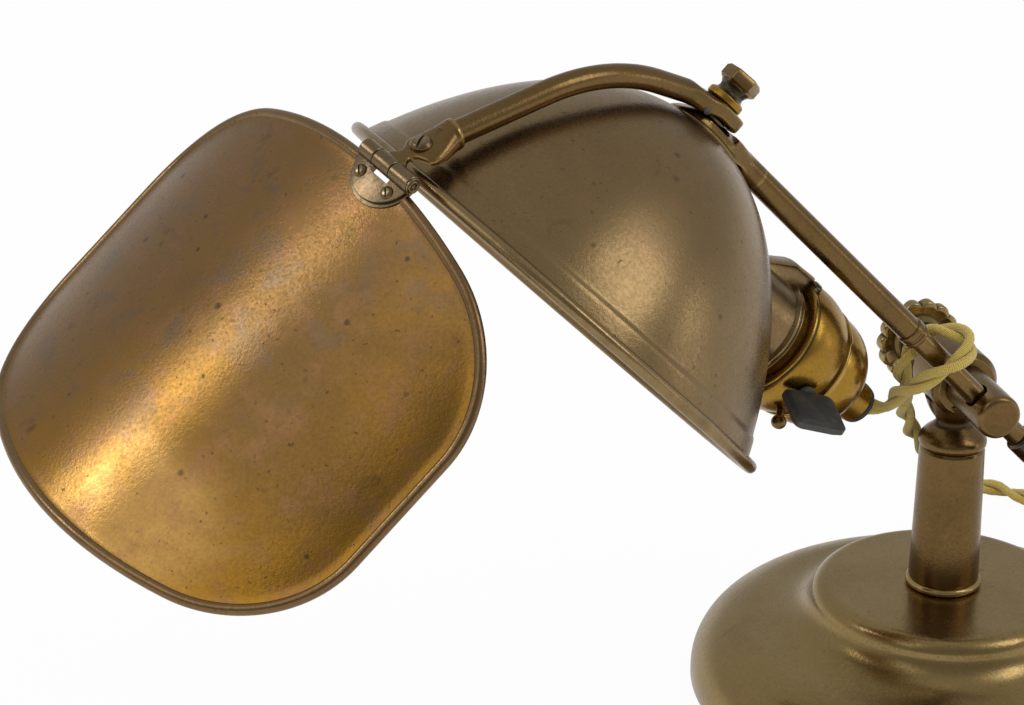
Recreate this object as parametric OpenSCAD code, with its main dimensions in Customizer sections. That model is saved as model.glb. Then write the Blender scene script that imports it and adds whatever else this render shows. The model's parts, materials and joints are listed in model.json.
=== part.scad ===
// Adjustable desk lamp: weighted round base, swivel clamp, sliding arm, domed shade and folding visor.
// Lengths are millimetres. +Z is up and the origin is the centre of the foot on the table.

/* [Base] */
// Diameter of the foot
base_d = 178; // [160:1:200]
// Height of the flat top of the base
base_h = 41.5; // [38:0.5:48]
// Diameter of the raised shoulder
shoulder_d = 93; // [84:1:100]
// Radius of the rounded shoulder
shoulder_round = 6; // [4:0.5:8]
// Width of the rounded flange
flange_w = 24; // [20:1:27]
// Height of the flange where the hollow curve starts
flange_h = 25; // [22:0.5:27]
// Height of the straight edge of the foot
lip_h = 4.5; // [4:0.5:7]
// Wall of the spun shell
shell_wall = 1.2; // [0.8:0.1:2]
// Thickness of the felt pad
felt_t = 2; // [1:0.5:3]
// Distance of the felt from the edge of the foot
felt_inset = 3; // [2:0.5:6]
// Height of the iron weight
weight_h = 15; // [12:0.5:16]
// Gap between the weight and the shell
weight_gap = 2; // [1.5:0.5:3]

/* [Stem] */
// Diameter of the stem at its foot
stem_foot_d = 24.8; // [23:0.2:27]
// Diameter of the stem at its top
stem_top_d = 22.8; // [22:0.2:25]
// Length of the stem
stem_h = 54; // [50:1:60]
// Bore of the stem
stem_bore_d = 19; // [18:0.5:20]
// Diameter of the bead at the foot of the stem
bead_d = 27; // [26:0.5:30]
// Height of the bead
bead_h = 3; // [2:0.5:4]
// Diameter of the tie tube inside the stem
tie_d = 10; // [8:0.5:11]
// Diameter of the swivel pin
pin_d = 8; // [6:0.5:9]
// Length of the bush in the top of the stem
bush_h = 34; // [32:1:38]
// Length of the pin's bearing in the bush
bearing_h = 16; // [14:1:20]
// Height of the swivel nut
swivel_nut_h = 5; // [4:0.5:6]
// Width across the flats of the swivel nut
swivel_nut_af = 12; // [11:0.5:13]

/* [Knuckle] */
// Height of the barrel's axis above the stem
barrel_lift = 25.5; // [24:0.5:30]
// Diameter of the barrel
barrel_d = 24; // [22:0.5:26]
// Length of the barrel behind the stem's axis
barrel_back = 12; // [11:0.5:14]
// Length of the barrel in front of the stem's axis
barrel_front = 9; // [8:0.5:11]
// Diameter of the neck below the barrel
neck_d = 12.6; // [11.6:0.2:14]
// Height of the neck above the stem
neck_lift = 9; // [8:0.5:10]
// Overhang of the cap beyond the stem
cap_over = 0.4; // [0:0.1:1]

/* [Clamp] */
// Distance from the stem's axis to the rod
eye_reach = 26; // [24:0.5:29]
// Diameter of the clamp sleeve
sleeve_d = 15.4; // [14.6:0.2:17]
// Distance from the rod to the closed end of the sleeve
sleeve_nose = 11; // [10:0.5:13]
// Diameter of the draw bolt
bolt_d = 10.4; // [10:0.2:11]
// Diameter of the draw bolt's thread
thread_d = 8; // [7:0.5:9]
// Tip to tip diameter of the thumb wheel
wheel_d = 30.4; // [27:0.2:34]
// Thickness of the thumb wheel's rim
wheel_t = 5; // [4:0.5:7]
// Number of lobes round the thumb wheel
wheel_lobes = 14; // [10:1:16]
// Length of the thumb wheel's hub
hub_l = 20; // [16:0.5:24]
// Diameter of the thumb wheel's hub
hub_d = 14; // [12:0.5:18]
// Depth of the hollow in the wheel's inner face
wheel_dish = 1.6; // [1:0.2:2.4]
// Thickness of the washer behind the barrel
washer_t = 1; // [0.8:0.1:1.5]

/* [Arm] */
// Angle of the arm above the horizontal
arm_rise = 46; // [40:1:55]
// Turn of the clamp about the stem
swivel_turn = 14.4; // [5:0.2:25]
// Diameter of the rod
rod_d = 7.4; // [6.8:0.2:8]
// Length of the rod below the clamp
rod_tail = 31; // [28:1:40]
// Distance from the rod's upper end to the flattened end of the tube
rod_gap = 8.5; // [6:0.5:20]
// Outer diameter of the sliding tube
tube_d = 8.6; // [8.4:0.1:9.4]
// Distance from the clamp to the mouth of the tube
tube_mouth = 38.8; // [34:0.2:46]
// Extra diameter of the ring at the tube's mouth
mouth_ring = 0.9; // [0.6:0.1:1.6]
// Length of the ring at the tube's mouth
mouth_l = 5; // [3:0.5:7]
// Outer diameter of the stop at the rod's lower end
stop_d = 10; // [9:0.2:12]
// Length of the stop
stop_l = 13; // [9:1:16]
// Distance from the clamp to the crown of the shade along the arm
arm_reach = 149.5; // [140:0.5:160]
// Length of the flattened end of the tube
tongue_l = 25; // [23:0.5:28]
// Width of the tongue
tongue_w = 17; // [15:0.5:20]
// Thickness of the tongue
tongue_t = 2.5; // [2:0.1:3]
// Height of the arm's axis above the crown
crown_rise = 0.3; // [0:0.1:1]
// Bend between the arm and the tongue
tongue_bend = 1; // [0:0.2:3]
// Roll of the head about the arm
head_roll = 6.3; // [0:0.1:15]

/* [Shade] */
// Diameter of the shade's wall at the rim
shade_d = 157.4; // [150:0.2:166]
// Depth of the shade
shade_depth = 71; // [66:0.5:76]
// Radius of the dome at its crown
crown_radius = 54; // [50:0.5:57]
// Wall of the shade
shade_wall = 0.9; // [0.7:0.1:1.4]
// Diameter of the rolled rim
rim_bead_d = 4; // [3:0.2:5]
// Diameter of the crown screw
crown_screw_d = 5; // [4:0.5:6]
// Thickness of the spacer on the tongue
spacer_t = 2; // [1.5:0.1:3]
// Diameter of the spacer
spacer_d = 13; // [11:0.5:15]
// Diameter of the crown screw's collar
collar_d = 12.8; // [11:0.2:15]
// Height of the collar
collar_h = 2.6; // [2:0.2:4]
// Diameter of the neck under the screw's head
screw_neck_d = 8.8; // [7:0.2:10]
// Height of the neck under the screw's head
screw_neck_h = 3.6; // [3:0.2:5]
// Width across the corners of the screw's head
screw_head_d = 13.6; // [12:0.2:16]
// Height of the screw's head
screw_head_h = 5.2; // [4:0.2:7]
// Height of the nut under the crown
crown_nut_h = 4; // [3:0.5:5]

/* [Socket] */
// Turn of the socket about the crown, away from the arm
socket_turn = 10; // [5:0.5:15]
// Tilt of the socket's axis
socket_tilt = 4; // [0:0.5:8]
// Height of the socket's axis above the rim
socket_height = 38; // [36:0.5:42]
// Distance of the fitting's datum outside the wall of the rim
socket_out = 1.3; // [0:0.1:4]
// Diameter of the fitter
fitter_d = 35; // [33:0.5:37]
// Wall of the fitter
fitter_wall = 1; // [0.8:0.1:1.4]
// Length of the fitter inside the datum
fitter_l = 42; // [38:1:44]
// Diameter of the ring round the fitter's end
fitter_ring_d = 37.4; // [36:0.2:39.4]
// Diameter of the socket's shell at its bulge
shell_d = 45.2; // [43:0.2:48]
// Diameter of the socket's shell at its edges
shell_edge_d = 43.6; // [42:0.2:46]
// Length of the socket's shell
shell_l = 17.6; // [16:0.2:20]
// Wall of the socket's shell
socket_wall = 1; // [0.8:0.1:1.4]
// Length of the socket's cap
cap_l = 25; // [23:0.5:28]
// Diameter of the tail
tail_d = 14.6; // [13:0.2:17]
// Length of the tail
tail_l = 8.4; // [7:0.2:11]
// Length of the bushing outside the tail
bushing_l = 2.4; // [2:0.2:4]
// Diameter of the lamp's screw shell
screw_shell_d = 27.6; // [27:0.2:28.4]
// Diameter of the bulb's globe
bulb_d = 45; // [40:1:48]
// Distance of the globe's centre inside the datum
bulb_in = 84; // [80:1:88]
// Distance of the key from the front of the socket's shell
key_at = 11.8; // [10:0.2:13]
// Angle of the key round the socket
key_angle = 290; // [270:1:300]
// Turn of the key's paddle
key_turn = -66; // [-90:1:0]
// Width of the key's paddle
key_w = 19; // [16:0.5:22]
// Length of the key's paddle
key_l = 17; // [14:0.5:20]
// Thickness of the key's paddle
key_t = 4.6; // [3:0.2:6]
// Diameter of the key's shaft
key_shaft_d = 4; // [3:0.2:5]
// Width of the fitter's clip
clip_w = 15; // [12:0.5:18]
// Thickness of the fitter's clip
clip_t = 1.4; // [1:0.1:2]
// Height of the clip above the fitter
clip_rise = 3.4; // [3:0.2:5]

/* [Visor] */
// Swing of the visor's arm about the crown
visor_swing = 21.9; // [0:0.1:40]
// Diameter of the visor's arm
arch_d = 7.6; // [6.6:0.2:8.4]
// Diameter of the arm's boss
boss_d = 16; // [15:0.5:19]
// Height of the arm's boss
boss_h = 5; // [4:0.2:6]
// First slope of the visor's arm
arch_slope = 20; // [17:0.5:23]
// Last slope of the visor's arm
arch_drop = 57.6; // [54:0.2:62]
// Bend radius of the visor's arm
arch_bend = 67; // [60:1:74]
// Gap between the rolled rim and the hinge's axis
hinge_gap = 8.7; // [7:0.1:12]
// Depth of the hinge's axis below the shade's wall
hinge_drop = 3.2; // [2:0.1:6]
// Turn of the hinge against the arm
hinge_twist = 7; // [0:0.5:10]
// Diameter of the hinge's barrel
hinge_d = 5.8; // [5:0.2:7]
// Length of the hinge's barrel
hinge_l = 25; // [22:0.5:30]
// Length of the hinge's middle knuckle
middle_l = 7.6; // [6:0.2:10]
// Diameter of the hinge's pin
hinge_pin_d = 2.8; // [2.2:0.1:3.4]
// Length of the hinge's leaf
leaf_l = 12.5; // [11:0.5:18]
// Thickness of the hinge's leaf
leaf_t = 1.4; // [1:0.1:2]
// Thickness of the strap between arm and hinge
strap_t = 2.4; // [2:0.1:3]
// Length of the strap between arm and hinge
strap_l = 19; // [17:0.5:24]
// Length of the ferrule on the visor's arm
ferrule_l = 5; // [4:0.5:12]
// Extra diameter of the ferrule
ferrule_over = 2; // [1.4:0.2:3]
// Outward lean of the visor
visor_fold = 2.9; // [0:0.1:10]
// Width of the visor
visor_w = 165; // [150:1:176]
// Length of the visor
visor_l = 139.6; // [125:0.2:150]
// Radius of the visor's curve across its width
visor_radius = 157; // [150:1:185]
// Rise of the arc at the hinge end
visor_rise_1 = 20.9; // [18:0.1:24]
// Rise of the arc at the far end
visor_rise_2 = 21.7; // [18:0.1:24]
// Radius of the visor's corners
visor_corner = 46; // [30:1:50]
// Thickness of the visor's sheet
visor_t = 1; // [0.8:0.1:1.4]
// Diameter of the visor's wired edge
visor_edge_d = 3.6; // [3:0.1:4.2]
// Distance from the hinge's axis to the end of the visor
visor_start = 1.2; // [0.8:0.1:3]
// Offset of the visor from the hinge's middle
visor_offset = 10.5; // [0:0.5:14]

/* [Cord] */
// Diameter of the twisted cord
cord_d = 6.5; // [6:0.1:7]
// Distance between the turns of the coil
coil_pitch = 7.1; // [7:0.1:8]
// Inner radius of the coil
coil_inner = 25; // [24:0.5:28]
// Turns in each layer of the coil
coil_turns = 3; // [2:1:3]
// Diameter of the plug
plug_d = 26; // [22:1:30]
// Length of the plug
plug_l = 30; // [26:1:36]

/* [Hidden] */
$fn = 72;

// Clearances
run = 0.05;
seat = 0.02;
free = 0.3;

// Heights on the base and stem
base_r = base_d / 2;
stem_top = base_h + stem_h;
barrel_z = stem_top + barrel_lift;
bush_bottom = stem_top - bush_h;
bearing_bottom = stem_top - bearing_h;
tie_grip = 8;
nut_af = tie_d * 1.7;
nut_h = 5;
nut_recess_d = nut_af * 1.35;
nut_z = felt_t + 2;

// Clamp stations along its axis, positive towards the front
sleeve_end = eye_reach + sleeve_nose;
bolt_end = sleeve_end - 3;
hub_start = barrel_back + washer_t;
wheel_inner = hub_start + hub_l;
wheel_outer = wheel_inner + wheel_t;
rod_top = arm_reach - tongue_l - rod_gap;
lobe_r = PI * wheel_d / wheel_lobes / 4.4;

// Crown stations above the apex of the shade
spacer_top = tongue_t + spacer_t;
boss_bottom = spacer_top + run;
boss_top = boss_bottom + boss_h;
collar_z = boss_top + run;
neck_z = collar_z + collar_h;
head_z = neck_z + screw_neck_h;
head_top = head_z + screw_head_h;

// Shade
shade_r = shade_d / 2;
dome_flat = (2 * crown_radius * shade_depth - shade_r * shade_r) / (shade_depth * shade_depth);
crown_hole_r = crown_screw_d / 2 + run;
rim_bead_r = rim_bead_d / 2;
rim_c = shade_r + rim_bead_r + 0.1;
rim_out = rim_c + rim_bead_r;

// Socket stations along its axis, positive outwards
socket_radius = shade_r + socket_out;
shell_front = -6.8;
shell_back = shell_front + shell_l;
cap_back = shell_back + cap_l;
tail_end = cap_back + tail_l;
fitter_r = fitter_d / 2;
fitter_ring_at = shell_front - 2.2;
clip_in = fitter_l - 10;
key_z = shell_front + key_at;
core_d = shell_edge_d - 2 * socket_wall - 4;
screw_shell_l = 28;
screw_shell_r = screw_shell_d / 2;
bulb_cap_r = screw_shell_r - 0.9;
bulb_neck_at = shell_front - screw_shell_l + 1;

// Visor arm in the plane of the arm: start, bend and two straight lengths that reach the hinge
hinge_x = rim_out + hinge_gap;
hinge_z = -(shade_depth + hinge_drop);
arch_x = boss_d / 2 - 1;
arch_z = (boss_bottom + boss_top) / 2 + 0.2;
arch_turn = arch_drop - arch_slope;
bend_x = arch_bend * (sin(arch_drop) - sin(arch_slope));
bend_z = arch_bend * (cos(arch_drop) - cos(arch_slope));
to_x = hinge_x - arch_x - bend_x;
to_z = hinge_z - arch_z - bend_z;
det = -cos(arch_slope) * sin(arch_drop) + sin(arch_slope) * cos(arch_drop);
arch_first = (-to_x * sin(arch_drop) - to_z * cos(arch_drop)) / det;
arch_last = (cos(arch_slope) * to_z + sin(arch_slope) * to_x) / det;
arch_end = arch_last - strap_l;
eye_l = boss_d * 0.8;

// Hinge and visor
hinge_r = hinge_d / 2;
leaf_w = hinge_l;
knuckle_gap = 0.3;
side_l = (hinge_l - middle_l) / 2 - knuckle_gap;
leaf_in = -2.2;
visor_seat = leaf_in - seat;
visor_step = asin(visor_offset / visor_radius);
half_w = visor_w / 2;
end_r1 = (half_w * half_w + visor_rise_1 * visor_rise_1) / (2 * visor_rise_1);
end_r2 = (half_w * half_w + visor_rise_2 * visor_rise_2) / (2 * visor_rise_2);
edge_r = visor_edge_d / 2;
visor_notch = hinge_r + 1.4;

// Cord
cord_r = cord_d / 2;
cord_sides = 10;
lead_tilt = 45;
lead_round = -135;
lead_route = [[-26.3, -18.8, 118.5], [-25, -21.9, 122], [-23.8, -26, 126], [-21.8, -30, 129.4],
  [-19, -33.6, 132.6], [-15, -36.1, 136.2], [-10, -37.2, 140], [-6, -36.9, 142.8], [-2.6, -34, 145.2],
  [-2.4, -29.6, 147.3], [-6, -25.8, 148.4], [-12, -22.6, 147.8], [-17, -22.6, 145], [-20.5, -24.6, 141.5]];
drop_route = [[-22.2, -23.8, 137.5], [-22.5, -22, 133], [-21.5, -18, 127.5], [-20, -12, 121],
  [-18.5, -4, 112.5], [-15, 6, 102], [-11, 14.5, 92.5], [-6, 21.5, 84], [0, 32, 69], [8, 51, 49],
  [16, 75, 30], [24, 102, 15.5], [29, 125, 8], [32, 142, 4.4]];
run_route = [[36, 154, 3.3], [42, 158.5, 3.3], [49, 156.5, 3.3], [53.5, 152.5, 3.3], [58, 148.5, 3.3],
  [68, 141, 3.3], [82, 135, 3.3], [98, 132.3, 3.3]];
coil_at = [125, 178];
coil_outer = coil_inner + coil_pitch * coil_turns;
coil_steps = 24;
coil_z = cord_r + 0.05;
coil_lift = cord_d + 0.6;
plug_gap = 36;

// Curves
function lerp(a, b, t) = a + (b - a) * t;
function bez(p, n) = [for (i = [0 : n]) let (t = i / n, s = 1 - t)
  s * s * s * p[0] + 3 * s * s * t * p[1] + 3 * s * t * t * p[2] + t * t * t * p[3]];
function arc(c, rx, rz, a0, a1, n) = [for (i = [0 : n]) let (a = lerp(a0, a1, i / n)) c +
  [rx * cos(a), rz * sin(a)]];
function back(list) = [for (i = [len(list) - 1 : -1 : 0]) list[i]];
function flat(lists) = [for (l = lists) for (p = l) p];
function unit(v) = v / norm(v);

// Tube swept along points, which run one point past each end; the rings stay square to the path
function tangent(p, i) = unit(p[i + 1] - p[i - 1]);
function carry(v, t) = unit(v - (v * t) * t);
function frames(p, i, v, out) = i == len(p) - 1 ? out :
  let (t = tangent(p, i), e = carry(v, t)) frames(p, i + 1, e, concat(out, [[e, cross(t, e)]]));
function any_side(t) = abs(t[2]) < 0.8 ? [0, 0, 1] : [1, 0, 0];
function tube_points(p, r, sides) = let (f = frames(p, 1, any_side(tangent(p, 1)), []))
  [for (i = [1 : len(p) - 2]) for (k = [0 : sides - 1]) let (a = 360 * k / sides)
    p[i] + r * (cos(a) * f[i - 1][0] + sin(a) * f[i - 1][1])];
function tube_faces(rings, sides) = concat(
  [for (k = [1 : sides - 2]) [0, k + 1, k]],
  [for (k = [1 : sides - 2]) let (b = (rings - 1) * sides) [b, b + k, b + k + 1]],
  [for (i = [0 : rings - 2]) for (k = [0 : sides - 1])
    let (a = i * sides + k, b = i * sides + (k + 1) % sides)
    [a, b, b + sides]],
  [for (i = [0 : rings - 2]) for (k = [0 : sides - 1])
    let (a = i * sides + k, b = i * sides + (k + 1) % sides)
    [a, b + sides, a + sides]]);
function past(p) = let (n = len(p) - 1) concat([2 * p[0] - p[1]], p, [2 * p[n] - p[n - 1]]);
module swept(p, r, sides) { polyhedron(tube_points(p, r, sides), tube_faces(len(p) - 2, sides)); }

// Smooth path through points, with a few rings between each two
function knot(p, i) = p[max(0, min(len(p) - 1, i))];
function smooth(p, n) = concat([for (i = [0 : len(p) - 2]) for (k = [0 : n - 1]) let (t = k / n,
  a = knot(p, i - 1), b = p[i], c = p[i + 1], d = knot(p, i + 2))
    0.5 * (2 * b + (c - a) * t + (2 * a - 5 * b + 4 * c - d) * t * t +
      (3 * b - a - 3 * c + d) * t * t * t)],
  [p[len(p) - 1]]);

// Places
module at_knuckle() { translate([0, 0, barrel_z]) rotate([0, 0, swivel_turn]) children(); }
module along_clamp() { at_knuckle() rotate([90, 0, 0]) children(); }
module at_arm() { at_knuckle() translate([0, -eye_reach, 0]) rotate([0, arm_rise - 90, 0]) children(); }
module at_head() { at_arm() rotate([0, 0, head_roll]) children(); }
module crown_in_head() {
  translate([-crown_rise, 0, arm_reach]) rotate(a = 180, v = [1, 0, 1]) rotate([0, tongue_bend, 0])
    children();
}
module at_shade() { at_head() crown_in_head() children(); }
module in_shade_socket() {
  rotate([0, 0, 180 + socket_turn]) translate([socket_radius, 0, socket_height - shade_depth])
    rotate([0, 90 - socket_tilt, 0]) children();
}
module at_socket() { at_shade() in_shade_socket() children(); }
module key_in_socket() { translate([0, 0, key_z]) rotate([0, 0, key_angle]) rotate([0, 90, 0]) children(); }
module at_visor_arm() { at_shade() rotate([0, 0, visor_swing]) children(); }
module at_arch_last() {
  at_visor_arm() translate([hinge_x, 0, hinge_z]) rotate([0, 90 + arch_drop, 0])
    translate([0, 0, -arch_last]) children();
}
module at_hinge() {
  at_visor_arm() translate([hinge_x, 0, hinge_z]) rotate([0, 0, hinge_twist]) children();
}
module at_visor() { at_hinge() rotate([0, -visor_fold, 0]) children(); }
module at_visor_sheet() {
  at_visor() translate([visor_seat - visor_radius, 0, 0]) rotate([0, 0, -visor_step])
    translate([visor_radius, 0, 0]) children();
}
module ring(outer, inner, h) {
  difference() {
    cylinder(r = outer, h = h);
    translate([0, 0, -1]) cylinder(r = inner, h = h + 2);
  }
}

// Base profile, outer edge first; the shell is this line with a wall inside it
function base_line(inset) = let (r = base_r - inset, sr = shoulder_d / 2 - inset, top = base_h - inset,
    fr = base_r - flange_w, fh = flange_h - inset, sz = base_h - shoulder_round)
  concat(
    arc([fr, lip_h], flange_w - inset, fh - lip_h, 0, 84, 12),
    bez([[fr, fh], [fr - 10, fh + 0.6], [sr + 1.6, lerp(fh, sz, 0.4)], [sr, sz - inset]], 10),
    arc([sr - shoulder_round, sz - inset], shoulder_round, shoulder_round, 12, 90, 6));

module felt_pad() { color([0.16, 0.15, 0.13]) cylinder(r = base_r - felt_inset, h = felt_t); }
module base_weight() {
  inset = shell_wall + weight_gap;
  a = asin((felt_t + weight_h - lip_h) / (flange_h - lip_h - inset));
  wall_r = base_r - inset;
  color([0.22, 0.22, 0.22]) rotate_extrude() polygon(concat(
    [[nut_recess_d / 2, felt_t], [wall_r, felt_t]],
    arc([base_r - flange_w, lip_h], flange_w - inset, flange_h - lip_h - inset, 0, a, 8),
    [[tie_d / 2 + free, felt_t + weight_h], [tie_d / 2 + free, nut_z + nut_h],
      [nut_recess_d / 2, nut_z + nut_h]]));
}
module base_shell() {
  color([0.49, 0.38, 0.24]) rotate_extrude() polygon(concat(
    [[base_r - shell_wall - 0.6, felt_t + seat], [base_r, felt_t + seat]],
    base_line(0),
    [[tie_d / 2 + free, base_h], [tie_d / 2 + free, base_h - shell_wall]],
    back(base_line(shell_wall))));
}
module stem_bead() {
  r = bead_d / 2 - bead_h / 2;
  color([0.55, 0.43, 0.26]) rotate_extrude() polygon(concat(
    [[tie_d / 2 + free, base_h + seat], [r, base_h + seat]],
    arc([r, base_h + bead_h / 2 + seat], bead_h / 2, bead_h / 2, -90, 90, 10),
    [[tie_d / 2 + free, base_h + bead_h + seat]]));
}
module stem_tube() {
  z = base_h + bead_h + 2 * seat;
  color([0.49, 0.37, 0.23]) rotate_extrude() polygon([
    [stem_bore_d / 2, z], [stem_foot_d / 2, z], [stem_top_d / 2, stem_top - 1],
    [stem_top_d / 2 - 0.7, stem_top], [stem_bore_d / 2, stem_top]]);
}
module stem_bush() {
  cavity = swivel_nut_af / 2 / cos(30) + 1;
  color([0.6, 0.48, 0.28]) rotate_extrude() polygon([
    [tie_d / 2 + seat, bush_bottom], [stem_bore_d / 2 - seat, bush_bottom],
      [stem_bore_d / 2 - seat, stem_top],
    [pin_d / 2 + run, stem_top], [pin_d / 2 + run, bearing_bottom], [cavity, bearing_bottom],
    [cavity, bush_bottom + tie_grip], [tie_d / 2 + seat, bush_bottom + tie_grip]]);
}
module tie_tube() {
  color([0.55, 0.5, 0.4]) translate([0, 0, nut_z])
    ring(tie_d / 2, tie_d / 2 - 1.4, bush_bottom + tie_grip - nut_z);
}
module base_nut() {
  color([0.5, 0.48, 0.42]) translate([0, 0, nut_z]) difference() {
    cylinder(r = nut_af / 2 / cos(30), h = nut_h - seat, $fn = 6);
    translate([0, 0, -1]) cylinder(r = tie_d / 2 + seat, h = nut_h + 2);
  }
}

// Swivel casting: ogee cap, neck and barrel
module knuckle() {
  r = stem_top_d / 2;
  z = stem_top + 0.4;
  nz = stem_top + neck_lift;
  low = barrel_z - barrel_d / 2;
  color([0.5, 0.37, 0.23]) difference() {
    union() {
      rotate_extrude() polygon(concat(
        [[0, z], [r - 0.4, z]],
        bez([[r + cap_over - 0.2, z + 0.5], [r + cap_over + 0.4, z + 3.2], [r - 1.4, z + 4.6],
          [neck_d / 2 + 1.6, nz - 1.6]], 8),
        bez([[neck_d / 2 + 0.4, nz - 0.8], [neck_d / 2 - 0.2, nz], [neck_d / 2, nz + 0.8],
          [neck_d / 2 + 0.8, nz + 2]], 4),
        [[neck_d / 2 + 2.6, low + 1.4], [neck_d / 2 + 2.6, low + 3], [0, low + 3]]));
      along_clamp() translate([0, 0, -barrel_back]) rotate_extrude() polygon([
        [0, 0], [barrel_d / 2 - 1.4, 0], [barrel_d / 2, 1.4],
          [barrel_d / 2, barrel_back + barrel_front - 2],
        [barrel_d / 2 - 0.6, barrel_back + barrel_front - 0.6],
          [barrel_d / 2 - 2, barrel_back + barrel_front],
        [0, barrel_back + barrel_front]]);
    }
    along_clamp() translate([0, 0, -barrel_back - 1])
      cylinder(r = thread_d / 2 + run, h = barrel_back + barrel_front + 2);
    translate([0, 0, stem_top - 1]) cylinder(r = pin_d / 2 + seat, h = neck_lift + 1);
  }
}
module swivel_pin() {
  color([0.55, 0.5, 0.4]) translate([0, 0, bearing_bottom - swivel_nut_h - 1.5])
    cylinder(r = pin_d / 2, h = bearing_h + swivel_nut_h + 1.5 + neck_lift - 0.2);
}
module swivel_nut() {
  color([0.5, 0.48, 0.42]) translate([0, 0, bearing_bottom - swivel_nut_h - free]) difference() {
    cylinder(r = swivel_nut_af / 2 / cos(30), h = swivel_nut_h, $fn = 6);
    translate([0, 0, -1]) cylinder(r = pin_d / 2 + seat, h = swivel_nut_h + 2);
  }
}

// Clamp: a closed sleeve and a draw bolt, both crossed by the rod
module clamp_sleeve() {
  start = barrel_front + run;
  r = sleeve_d / 2;
  color([0.47, 0.35, 0.22]) difference() {
    along_clamp() rotate_extrude() polygon(concat(
      [[bolt_d / 2 + seat, start], [r - 0.5, start], [r, start + 0.5], [r, sleeve_end - 2]],
      arc([r - 2, sleeve_end - 2], 2, 2, 0, 90, 5),
      [[0, sleeve_end], [0, bolt_end + seat], [bolt_d / 2 + seat, bolt_end + seat]]));
    at_arm() translate([0, 0, -sleeve_d]) cylinder(r = rod_d / 2 + run, h = 2 * sleeve_d);
  }
}
module draw_bolt() {
  start = barrel_front + run;
  tip = wheel_outer - 0.6;
  color([0.5, 0.45, 0.35]) difference() {
    along_clamp() rotate_extrude() polygon([
      [0, -tip], [thread_d / 2, -tip], [thread_d / 2, start], [bolt_d / 2, start],
        [bolt_d / 2, bolt_end], [0, bolt_end]]);
    at_arm() translate([0, 0, -sleeve_d]) cylinder(r = rod_d / 2 + run, h = 2 * sleeve_d);
  }
}
module clamp_washer() {
  color([0.42, 0.33, 0.2]) along_clamp() translate([0, 0, -barrel_back - washer_t])
    ring(hub_d / 2 + 1.6, thread_d / 2 + run, washer_t - run);
}
module thumb_wheel() {
  lobe_c = wheel_d / 2 - lobe_r;
  color([0.5, 0.4, 0.24]) along_clamp() rotate([180, 0, 0]) difference() {
    union() {
      rotate_extrude() polygon([
        [0, hub_start + run], [hub_d / 2, hub_start + run], [hub_d / 2, wheel_inner + wheel_dish],
        [lobe_c - 1.2, wheel_inner], [lobe_c, wheel_inner], [lobe_c, wheel_outer], [0, wheel_outer]]);
      for (i = [0 : wheel_lobes - 1]) rotate([0, 0, 360 * i / wheel_lobes])
        translate([lobe_c, 0, wheel_inner])
        cylinder(r = lobe_r, h = wheel_t, $fn = 24);
    }
    translate([0, 0, hub_start - 1]) cylinder(r = thread_d / 2 + run, h = wheel_outer);
  }
}

// Arm: a rod in a sliding tube
module arm_rod() {
  color([0.5, 0.38, 0.22]) at_arm() translate([0, 0, -rod_tail])
    cylinder(r = rod_d / 2, h = rod_tail + rod_top);
}
module rod_stop() {
  r = stop_d / 2;
  bore = rod_d / 2 + seat;
  edge = (r - bore) * 0.7;
  color([0.2, 0.17, 0.13]) at_arm() translate([0, 0, -rod_tail + 1]) rotate_extrude() polygon(concat(
    [[bore, 0]], arc([r - edge, edge], edge, edge, -90, 0, 4),
    [[r, stop_l - edge], [r - edge, stop_l], [bore, stop_l]]));
}
module arm_tube() {
  color([0.5, 0.39, 0.25]) at_head() translate([0, 0, tube_mouth])
    ring(tube_d / 2, rod_d / 2 + run, arm_reach - tongue_l - tube_mouth);
}
module tube_ring() {
  r = (tube_d + mouth_ring) / 2;
  color([0.54, 0.43, 0.28]) at_head() translate([0, 0, tube_mouth]) rotate_extrude() polygon([
    [tube_d / 2 + seat, 0], [r - 0.2, 0], [r, 0.3], [r, mouth_l - 0.3], [r - 0.2, mouth_l],
      [tube_d / 2 + seat, mouth_l]]);
}
module arm_tongue() {
  neck = tongue_l - 9;
  lap = 0.04;
  half = tongue_w / 2;
  color([0.5, 0.4, 0.26]) at_head() union() {
    crown_in_head() difference() {
      linear_extrude(tongue_t)
        polygon(concat([[-neck, half], [-neck, -half]], arc([0, 0], half, half, -90, 90, 24)));
      translate([0, 0, -1]) cylinder(r = crown_hole_r, h = tongue_t + 2);
    }
    hull() {
      translate([0, 0, arm_reach - tongue_l]) cylinder(r = tube_d / 2, h = 1, $fn = 32);
      crown_in_head() translate([-neck - 0.2, lap - half, lap])
        cube([0.6, tongue_w - 2 * lap, tongue_t - 2 * lap]);
    }
  }
}

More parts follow.
